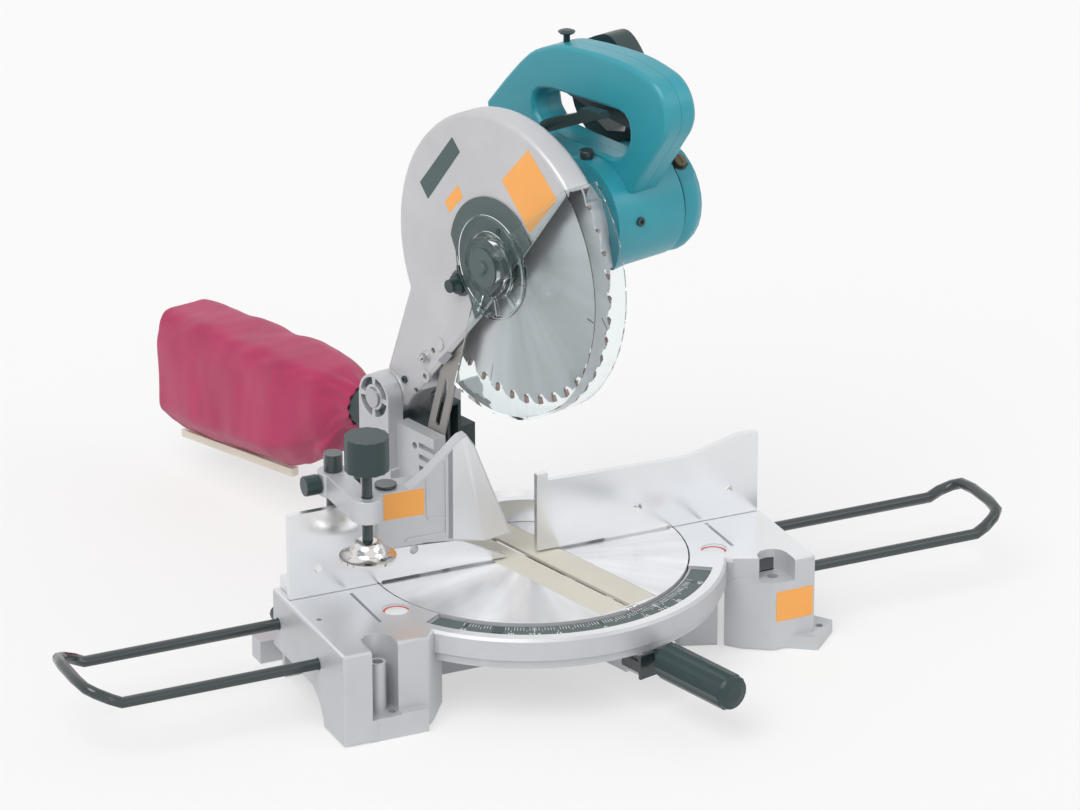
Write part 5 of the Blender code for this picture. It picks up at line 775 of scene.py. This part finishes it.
def lineRow(name, body, finish, row, matrix):
    # turns of a thread, stacked along a line
    inputs = {"count": "Int", "step": "Vector", "radius": "Float", "height": "Float"}
    tree, start, end = startTree("Geometry", "lineRow", inputs, {"Geometry": "Geometry"})
    line = tree.nodes.new("GeometryNodeMeshLine")
    tree.links.new(start.outputs["count"], line.inputs["Count"])
    tree.links.new(start.outputs["step"], line.inputs["Offset"])
    solid = tree.nodes.new("GeometryNodeMeshCone")
    solid.inputs["Vertices"].default_value = row["corners"]
    tree.links.new(start.outputs["radius"], solid.inputs["Radius Bottom"])
    tree.links.new(math2(tree, "MULTIPLY", start.outputs["radius"], row["taper"]), solid.inputs["Radius Top"])
    tree.links.new(start.outputs["height"], solid.inputs["Depth"])
    setOut(tree, end, line.outputs["Mesh"], solid, finish)
    rowPiece(name, tree, {**row, "step": (0, 0, row["step"])}, body, matrix)


# the mitre scale: ticks, numbers, the dark stop mark and the line under the pointer

scale = {"height": 0.0842, "inner": 0.1474, "depth": 0.0002, "zero": -90, "numbers": 0.1610, "size": 0.0064,
         "angles": (-45, -30, -22.5, -15, 0, 15, 22.5, 30, 45),
         "ticks": {"scaleTicksDegree": (1, 0.0052, 0.00042, 46), "scaleTicksFive": (5, 0.0072, 0.00052, 45),
                   "scaleTicksMain": (22.5, 0.0092, 0.00065, 45),
                   "scaleTicksFifteen": (15, 0.0092, 0.00065, 45)},
         "stopAngle": -124.2, "stopRadius": 0.1535, "stop": (0.0062, 0.0048, 0.0004),
         "line": (0.00035, 0.1395, 0.1498), "lineHeight": (0.0859, 0.0861)}


def ticks(name, step, length, width, reach):
    count = int(round(2 * reach / step)) + 1
    row = {"count": count, "radius": scale["inner"] + length / 2, "start": scale["zero"] - reach,
           "sweep": 2 * reach, "size": (length, width, scale["depth"])}
    arcRow(name, "base", "whiteInk", row, Matrix.Translation((0, 0, scale["height"])))


def scaleNumber(number, angle):
    name = f"scaleNumber{number}"
    data = bpy.data.curves.new(name, "FONT")
    data.body = f"{abs(angle):g}"
    data.size = scale["size"]
    data.extrude = scale["depth"] / 2
    data.align_x = "CENTER"
    data.align_y = "CENTER"
    made = newPiece(name, data)
    mesh = bpy.data.meshes.new_from_object(made.evaluated_get(bpy.context.evaluated_depsgraph_get()))
    bpy.data.objects.remove(made)
    a = math.radians(scale["zero"] + angle)
    spot = Vector((math.cos(a), math.sin(a), 0)) * scale["numbers"]
    spot.z = scale["height"] + scale["depth"] / 2
    mesh.transform(Matrix.Translation(spot) @ Matrix.Rotation(math.radians(angle), 4, "Z"))
    mesh.materials.clear()
    mesh.materials.append(paint["whiteInk"])
    piece = newPiece(name, mesh)
    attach(piece, "base")


for name, row in scale["ticks"].items():
    ticks(name, *row)
for number, angle in enumerate(scale["angles"]):
    scaleNumber(number, angle)
mark = Matrix.Rotation(math.radians(scale["stopAngle"]), 4, "Z")
mark = mark @ Matrix.Translation((scale["stopRadius"], 0, scale["height"]))
wide, deep, thick = scale["stop"]
pieceFrom("scaleStopMark", slab(bar(-wide, -deep, wide, deep), 0, thick), "blackPlastic", "base", mark)
half, near, far = scale["line"]
pieceFrom("pointerLine", slab(bar(-half, -far, half, -near), *scale["lineHeight"]), "redInk", "table", turned)
print("the scale is marked")


# plain plates where the real saw carries its labels, and the plain discs on the wings

plates = {
    "caseBigPlate": ("orange", ((-0.0220, 0.4780), (-0.0605, 0.4435), (-0.0250, 0.4025), (0.0135, 0.4400))),
    "caseDarkPlate": ("darkLabel", ((0.1257, 0.4054), (0.0809, 0.4602), (0.0701, 0.4495), (0.1147, 0.3927))),
    "caseSmallPlate": ("orange", ((0.0731, 0.4180), (0.0663, 0.4089), (0.0857, 0.3882), (0.0911, 0.3978))),
}
plate = {"case": -0.0170, "half": 0.0002, "rounding": 0.0012, "thin": (-0.0001, 0.0002), "thick": (0, 0.0004),
         "corner": 0.001, "wing": -0.1080,
         "subFence": ((-0.1412, 0.1452), (-0.0990, 0.1440), (-0.0990, 0.1690), (-0.1412, 0.1696)),
         "base": ((0.1922, 0.0285), (0.2280, 0.0290), (0.2280, 0.0578), (0.1922, 0.0570))}
for name, (finish, corners) in plates.items():
    pieceFrom(name, slab(corners, -plate["half"], plate["half"], plate["rounding"]), finish, "head",
              onSide(plate["case"]))
pieceFrom("subFencePlate", slab(plate["subFence"], *plate["thin"], plate["corner"]), "orange",
          "sub_fence_body", front)
pieceFrom("baseRightPlate", slab(plate["base"], *plate["thick"], plate["corner"]), "orange", "base",
          Matrix.Translation((0, plate["wing"], 0)) @ front)

discs = {"height": 0.0854, "face": ((0.0134, 0), (0.0136, 0.0003), (0.0134, 0.0004)), "steps": 48,
         "rim": (0.0104, 0.0126, 0.0003, 0.0005),
         "places": {"leftDisc": (-0.1519, -0.0598), "rightDisc": (0.1514, -0.0635)}}
for name, centre in discs["places"].items():
    spot = Matrix.Translation((*centre, discs["height"]))
    pieceFrom(name, roundBody(discs["face"], discs["steps"]), "whiteInk", "base", spot)
    pieceFrom(name + "Rim", ringShape(*discs["rim"]), "redInk", "base", spot)

# painted shade: dark strips in the base's two grooves, where shade falls
grooves = {"half": 0.0016, "height": (0.0850, 0.0856),
           "places": {"leftGroove": (-0.1718, -0.0734, -0.0085), "rightGroove": (0.1720, -0.0768, -0.0115)}}
for name, (x, near, far) in grooves["places"].items():
    corners = bar(-grooves["half"], near, grooves["half"], far)
    pieceFrom(name, slab(corners, *grooves["height"]), "recessShade", "base", Matrix.Translation((x, 0, 0)))
print("the plain plates and discs are on")


# the sub-fence's milled facet and its cast ribs, drawn on the fence's face, with painted shade in the groove
# by the facet

facet = {"corners": ((-0.0715, 0.1152), (-0.0420, 0.1088), (-0.0178, 0.1110), (-0.0514, 0.1993),
                     (-0.0582, 0.2106), (-0.0634, 0.2090), (-0.0715, 0.2020)),
         "proud": (0.0003, 0.0010, 0.0001, 0.0001, 0.0001, 0.0010, 0.0003), "under": -0.0003, "sharp": 3}
# painted shade: a dark strip in the groove between the post rib and the facet
grooveShade = {"corners": ((-0.0760, 0.1165), (-0.0718, 0.1158), (-0.0718, 0.2005), (-0.0760, 0.1960)),
         "half": 0.0002}
rib = {"under": -0.0003, "proud": 0.0011, "rounding": 0.0002, "edge": 0.0003}
ribs = {"subFenceRail": ((-0.0972, 0.1395), (-0.0958, 0.1395), (-0.0958, 0.1770), (-0.0972, 0.1770)),
        "subFencePost": ((-0.0790, 0.1215), (-0.0762, 0.1210), (-0.0762, 0.1930), (-0.0790, 0.1915)),
        "subFenceLedge": ((-0.0956, 0.1375), (-0.0792, 0.1350), (-0.0792, 0.1385), (-0.0956, 0.1410)),
        "subFenceLip": ((-0.1180, 0.1206), (-0.0792, 0.1195), (-0.0792, 0.1238), (-0.1160, 0.1243))}


def facetShape():
    corners = facet["corners"]
    n = len(corners)
    verts = [(x, z, facet["under"]) for x, z in corners]
    verts += [(x, z, proud) for (x, z), proud in zip(corners, facet["proud"])]
    faces = [tuple(reversed(range(n)))]
    faces += [tuple(n + i for i in face) for face in ((0, 1, 5, 6), (1, 2, 3), (1, 3, 4), (1, 4, 5))]
    return verts, faces + bands(2, n)


pieceFrom("subFenceFacet", facetShape(), "machined", "sub_fence_body", front,
          facet["sharp"])
for name, corners in ribs.items():
    pieceFrom(name, slab(corners, rib["under"], rib["proud"], rib["rounding"]), "cast", "sub_fence_body",
              front, edge=rib["edge"])
pieceFrom("subFenceGrooveShade", slab(grooveShade["corners"], -grooveShade["half"], grooveShade["half"]), "recessShade", "sub_fence_body",
          front)
print("the sub-fence has its facet and ribs")


# small pieces on the head: tabs of the cover, screws, painted shade on the pocket's floor, the shaft lock and
# the brush cap

tabs = {"under": -0.0200, "proud": -0.0188, "rounding": 0.0004,
        "coverTabHigh": ((0.0135, 0.3895), (0.0175, 0.3895), (0.0175, 0.3950), (0.0135, 0.3950)),
        "coverTabLow": ((0.0680, 0.3395), (0.0715, 0.3385), (0.0725, 0.3440), (0.0690, 0.3450))}
hexBolt = {"place": (-0.0184, 0.1193, 0.2421), "edge": 0.0002, "head": (0.0042, 0.0034),
           "washer": ((0.0052, 0), (0.0052, 0.0008), (0.0047, 0.0010)),
           "tip": ((0.0021, 0), (0.0021, 0.0018), (0.0016, 0.0022))}
capScrew = {"steps": 24, "shoulder": 0.85, "crown": 0.88, "socket": 0.45}
stopScrew = {"size": (0.0034, 0.0022, 0.0016), "place": (-0.0168, 0.1492, 0.2106)}
sideScrew = {"size": (0.0042, 0.0026, 0.0019), "place": (0.0740, -0.0632, 0.4020), "faces": (0, -1, 0.05)}
# painted shade: a dark sheet on the floor of the case's pocket, where shade falls
pocket = {"corners": ((-0.0903, 0.2560), (-0.0820, 0.2552), (-0.0940, 0.2420), (-0.1025, 0.2440)),
          "height": (0.0168, 0.0172)}
lockKnob = {"place": (0.0570, -0.012, 0.4490), "steps": 28, "edge": 0.0003,
            "profile": ((0.0058, -0.002), (0.0058, 0.0030), (0.0066, 0.0034), (0.0066, 0.0075),
                        (0.0058, 0.0084))}
brushCap = {"angle": 129, "x": 0.136, "radius": 0.0512, "steps": 28, "slot": (0.0046, 0.0008),
            "slotHeight": (0.0010, 0.0018), "profile": ((0.0058, -0.001), (0.0058, 0.0012), (0.0052, 0.0016))}


def hexHead(radius, height):
    turns = [math.radians(60 * i) for i in range(6)]
    return slab([(radius * math.cos(a), radius * math.sin(a)) for a in turns], 0, height)


def hexBoltShape():
    washer = roundBody(hexBolt["washer"], 28)
    head = raised(hexHead(*hexBolt["head"]), hexBolt["washer"][-1][1])
    tip = raised(roundBody(hexBolt["tip"], 20), hexBolt["washer"][-1][1] + hexBolt["head"][1])
    return merged(washer, head, tip)


def capHead(radius, height, drive):
    # a cap screw with a hexagon socket
    n = capScrew["steps"]
    rows = ((radius, 0), (radius, height * capScrew["shoulder"]), (radius * capScrew["crown"], height),
            (drive, height), (drive, height * capScrew["socket"]))
    verts = []
    for wide, tall in rows:
        for i in range(n):
            a = 2 * math.pi * i / n
            reach = wide
            if wide == drive:
                reach = drive * math.cos(math.pi / 6) / math.cos((a % (math.pi / 3)) - math.pi / 6)
            verts.append((reach * math.cos(a), reach * math.sin(a), tall))
    return verts, bands(len(rows), n) + ends(len(rows), n)


for name in ("coverTabHigh", "coverTabLow"):
    pieceFrom(name, slab(tabs[name], tabs["under"], tabs["proud"], tabs["rounding"]), "blackPlastic", "head",
              onSide(0))
pieceFrom("caseHexBolt", hexBoltShape(), "steel", "head", onLeft(*hexBolt["place"]),
          edge=hexBolt["edge"])
pieceFrom("caseStopScrew", capHead(*stopScrew["size"]), "blackPlastic", "head", onLeft(*stopScrew["place"]))
pieceFrom("casePocket", slab(pocket["corners"], *pocket["height"]), "recessShade", "head", onLeft(0, 0, 0))
pieceFrom("motorSideScrew", capHead(*sideScrew["size"]), "blackPlastic", "head",
          turned @ facing(sideScrew["place"], sideScrew["faces"]))
pieceFrom("shaftLockKnob", roundBody(lockKnob["profile"], lockKnob["steps"]), "blackPlastic", "head",
          turned @ Matrix.Translation(lockKnob["place"]), edge=lockKnob["edge"])
outward = Vector((0, math.cos(math.radians(brushCap["angle"])), math.sin(math.radians(brushCap["angle"]))))
axis = Vector((brushCap["x"], saw["motorY"], saw["motorZ"]))
capTurn = turned @ facing(axis + outward * brushCap["radius"], outward, (1, 0, 0))
wide, deep = brushCap["slot"]
pieceFrom("brushCapFace", roundBody(brushCap["profile"], brushCap["steps"]), "brown", "head", capTurn)
pieceFrom("brushCapSlot", slab(bar(-wide, -deep, wide, deep), *brushCap["slotHeight"]), "blackPlastic",
          "head", capTurn)
print("screws and caps are in")


# the guard's moulded ribs and rings, the blade's tips and the clamp's thread

guard = {"x": -0.0236, "rings": (0.0300, 0.0445), "half": 0.0007, "height": (-0.0012, 0.0016), "steps": 56,
         "ribs": {"count": 4, "radius": 0.0375, "start": 186, "sweep": 104, "size": (0.0150, 0.0017, 0.0034)}}
tips = {"count": 40, "radius": 0.1268, "start": -1.2, "sweep": 351, "size": (0.0062, 0.0026, 0.0029)}
thread = {"step": 0.0015, "radius": 0.00475, "height": 0.0012, "taper": 0.88, "corners": 20}
threads = {"x": -0.170, "y": -0.040, "clampThreadLow": (12, 0.1508), "clampThreadHigh": (17, 0.1915)}

hub = onSide(guard["x"], saw["bladeY"], saw["bladeZ"])
arcRow("guardRibs", "guard", "clear", guard["ribs"], hub)
rings = [ringShape(radius - guard["half"], radius + guard["half"], *guard["height"], guard["steps"])
         for radius in guard["rings"]]
pieceFrom("guardRings", merged(*rings), "clear", "guard", hub)
arcRow("bladeTips", "blade_group", "carbide", tips, onSide(0, saw["bladeY"], saw["bladeZ"]))
for name in ("clampThreadLow", "clampThreadHigh"):
    count, low = threads[name]
    spot = Matrix.Translation((threads["x"], threads["y"], low))
    lineRow(name, "clamp_screw", "blackSteel", {**thread, "count": count}, spot)
print("ribs, tips and thread are set")


# the dust bag: a lofted cloth shell round the nozzle, gathered at its neck, its lower edge in the cream rail

bag = {"x": 0.008, "start": 0.237, "end": 0.5125, "stations": 58, "around": 64, "fold": 0.0016,
       "square": 3.2, "squareBy": 0.30, "foot": 0.07, "footFrom": 0.12, "footOver": 0.24, "footHigh": 0.46,
       "panelRings": 5, "panelDome": 0.0026, "panelSink": 0.0012, "panelCloth": 0.05,
       "neckRings": 3, "neckHeight": 0.150, "neckIn": 0.05, "neckStep": 0.004, "cloth": (0.28, 0.36),
       "top": ((0, 0.1710), (0.05, 0.1735), (0.14, 0.1775), (0.35, 0.1765), (0.7, 0.1715), (1, 0.1660)),
       "low": ((0, 0.1290), (0.05, 0.1230), (0.14, 0.0900), (0.30, 0.0640), (0.42, 0.0510), (0.7, 0.0425),
               (1, 0.0350)),
       "wide": ((0, 0.0215), (0.05, 0.0225), (0.16, 0.0320), (0.35, 0.0385), (0.8, 0.0385), (1, 0.0350))}
# the gather at the neck, the broad and fine drape and the crease behind the neck
folds = {"gatherFade": 0.10, "gatherWaves": 13, "gatherTwist": 3, "gather": 0.9, "broad": 1.5, "fine": 0.7,
         "drapeFrom": 0.1, "creaseWaves": 22, "creaseLean": 0.35, "creaseAt": 0.16, "creaseOver": 0.14,
         "crease": 0.9, "creaseTop": 0.4, "inward": 0.9, "upright": 0.8}


def along(table, t):
    # the value of a table at t, half eased and half straight between its rows
    for (t0, v0), (t1, v1) in zip(table, table[1:]):
        if t <= t1:
            share = (t - t0) / (t1 - t0)
            share = share * share * (3 - 2 * share) * 0.5 + share * 0.5
            return v0 + (v1 - v0) * share
    return table[-1][1]


def bagPoint(t, a):
    top, low, wide = (along(bag[key], t) for key in ("top", "low", "wide"))
    middle, tall = (top + low) / 2, (top - low) / 2
    power = 2 + bag["square"] * min(1, t / bag["squareBy"])
    c, s = math.cos(a), math.sin(a)
    u = math.copysign(abs(c) ** (2 / power), c)
    v = math.copysign(abs(s) ** (2 / power), s)
    held = min(1, max(0, (t - bag["footFrom"]) / bag["footOver"]))   # drawn in to the rail at the foot
    foot = bag["foot"] + (1 - bag["foot"]) * min(1, (v + 1) / bag["footHigh"]) ** 0.8
    narrow = 1 - held * (1 - foot)
    x, z = wide * u * narrow, middle + tall * v
    gather = math.sin(folds["gatherWaves"] * a + folds["gatherTwist"] * t)
    gather *= math.exp(-t / folds["gatherFade"])
    drape = noise.noise(Vector((t * 7, u * 1.4, v * 2.2))) * folds["broad"]
    drape += noise.noise(Vector((t * 17 + v * 5, u * 2, v * 5))) * folds["fine"]
    crease = math.sin(folds["creaseWaves"] * (t * 0.9 + folds["creaseLean"] * v))
    crease *= math.exp(-((t - folds["creaseAt"]) / folds["creaseOver"]) ** 2) * folds["crease"]
    push = gather * folds["gather"] + drape * min(1, t / folds["drapeFrom"])
    push += crease * max(0, folds["creaseTop"] - v) - folds["inward"]
    push *= bag["fold"]
    y = bag["start"] + (bag["end"] - bag["start"]) * t
    return Vector((bag["x"] + x + push * u, y, z + push * v * folds["upright"]))


def dustBag():
    n, m = bag["around"], bag["stations"]
    length, girth = bag["cloth"]
    verts, spots = [], []
    for i in range(m):
        t = i / (m - 1)
        for j in range(n):
            a = 2 * math.pi * j / n
            verts.append(bagPoint(t, a))
            spots.append((t * length, j / n * girth))
    last = (m - 1) * n
    rings = bag["panelRings"]                                        # the sewn end panel, slightly domed
    centre = sum((verts[last + j] for j in range(n)), Vector()) / n
    for ring in range(1, rings + 1):
        share = ring / (rings + 0.6)
        for j in range(n):
            point = verts[last + j].lerp(centre, share)
            dome = bag["panelDome"] * math.sin(share * math.pi / 2)
            point.y = verts[last + j].y + dome - bag["panelSink"]
            verts.append(point)
            spots.append((length + share * bag["panelCloth"], j / n * girth))
    faces = bands(m + rings, n)
    faces.append(tuple(last + rings * n + j for j in range(n)))
    neck = bag["neckRings"]                                          # the neck turns in over the nozzle
    base = len(verts)
    for ring in range(1, neck + 1):
        for j in range(n):
            point = verts[j].copy()
            back = Vector((bag["x"], point.y, bag["neckHeight"])) - point
            verts.append(point + back * (bag["neckIn"] * ring) + Vector((0, bag["neckStep"] * ring, 0)))
            spots.append((-bag["neckStep"] * ring, j / n * girth))
    for ring in range(neck):
        for j in range(n):
            k = (j + 1) % n
            a0 = base + (ring - 1) * n if ring else 0
            a1 = base + ring * n
            faces.append((a1 + j, a1 + k, a0 + k, a0 + j))
    faces.append(tuple(reversed([base + (neck - 1) * n + j for j in range(n)])))
    mesh = bpy.data.meshes.new("dustBagCloth")
    mesh.from_pydata([tuple(turned @ point) for point in verts], [], faces)
    layer = mesh.uv_layers.new(name="cloth")
    for loop in mesh.loops:
        layer.data[loop.index].uv = spots[loop.vertex_index]
    sheet = bmesh.new()
    sheet.from_mesh(mesh)
    bmesh.ops.recalc_face_normals(sheet, faces=sheet.faces)
    sheet.to_mesh(mesh)
    sheet.free()
    mesh.materials.append(paint["cloth"])
    mesh.shade_smooth()
    piece = newPiece("dustBagCloth", mesh)
    soft = piece.modifiers.new("soft", "SUBSURF")
    soft.levels = soft.render_levels = 1
    settled(piece)
    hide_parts("dust_bag")
    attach(piece, "tilt_arm")


dustBag()
print("the dust bag is sewn")


# the end

low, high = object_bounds()
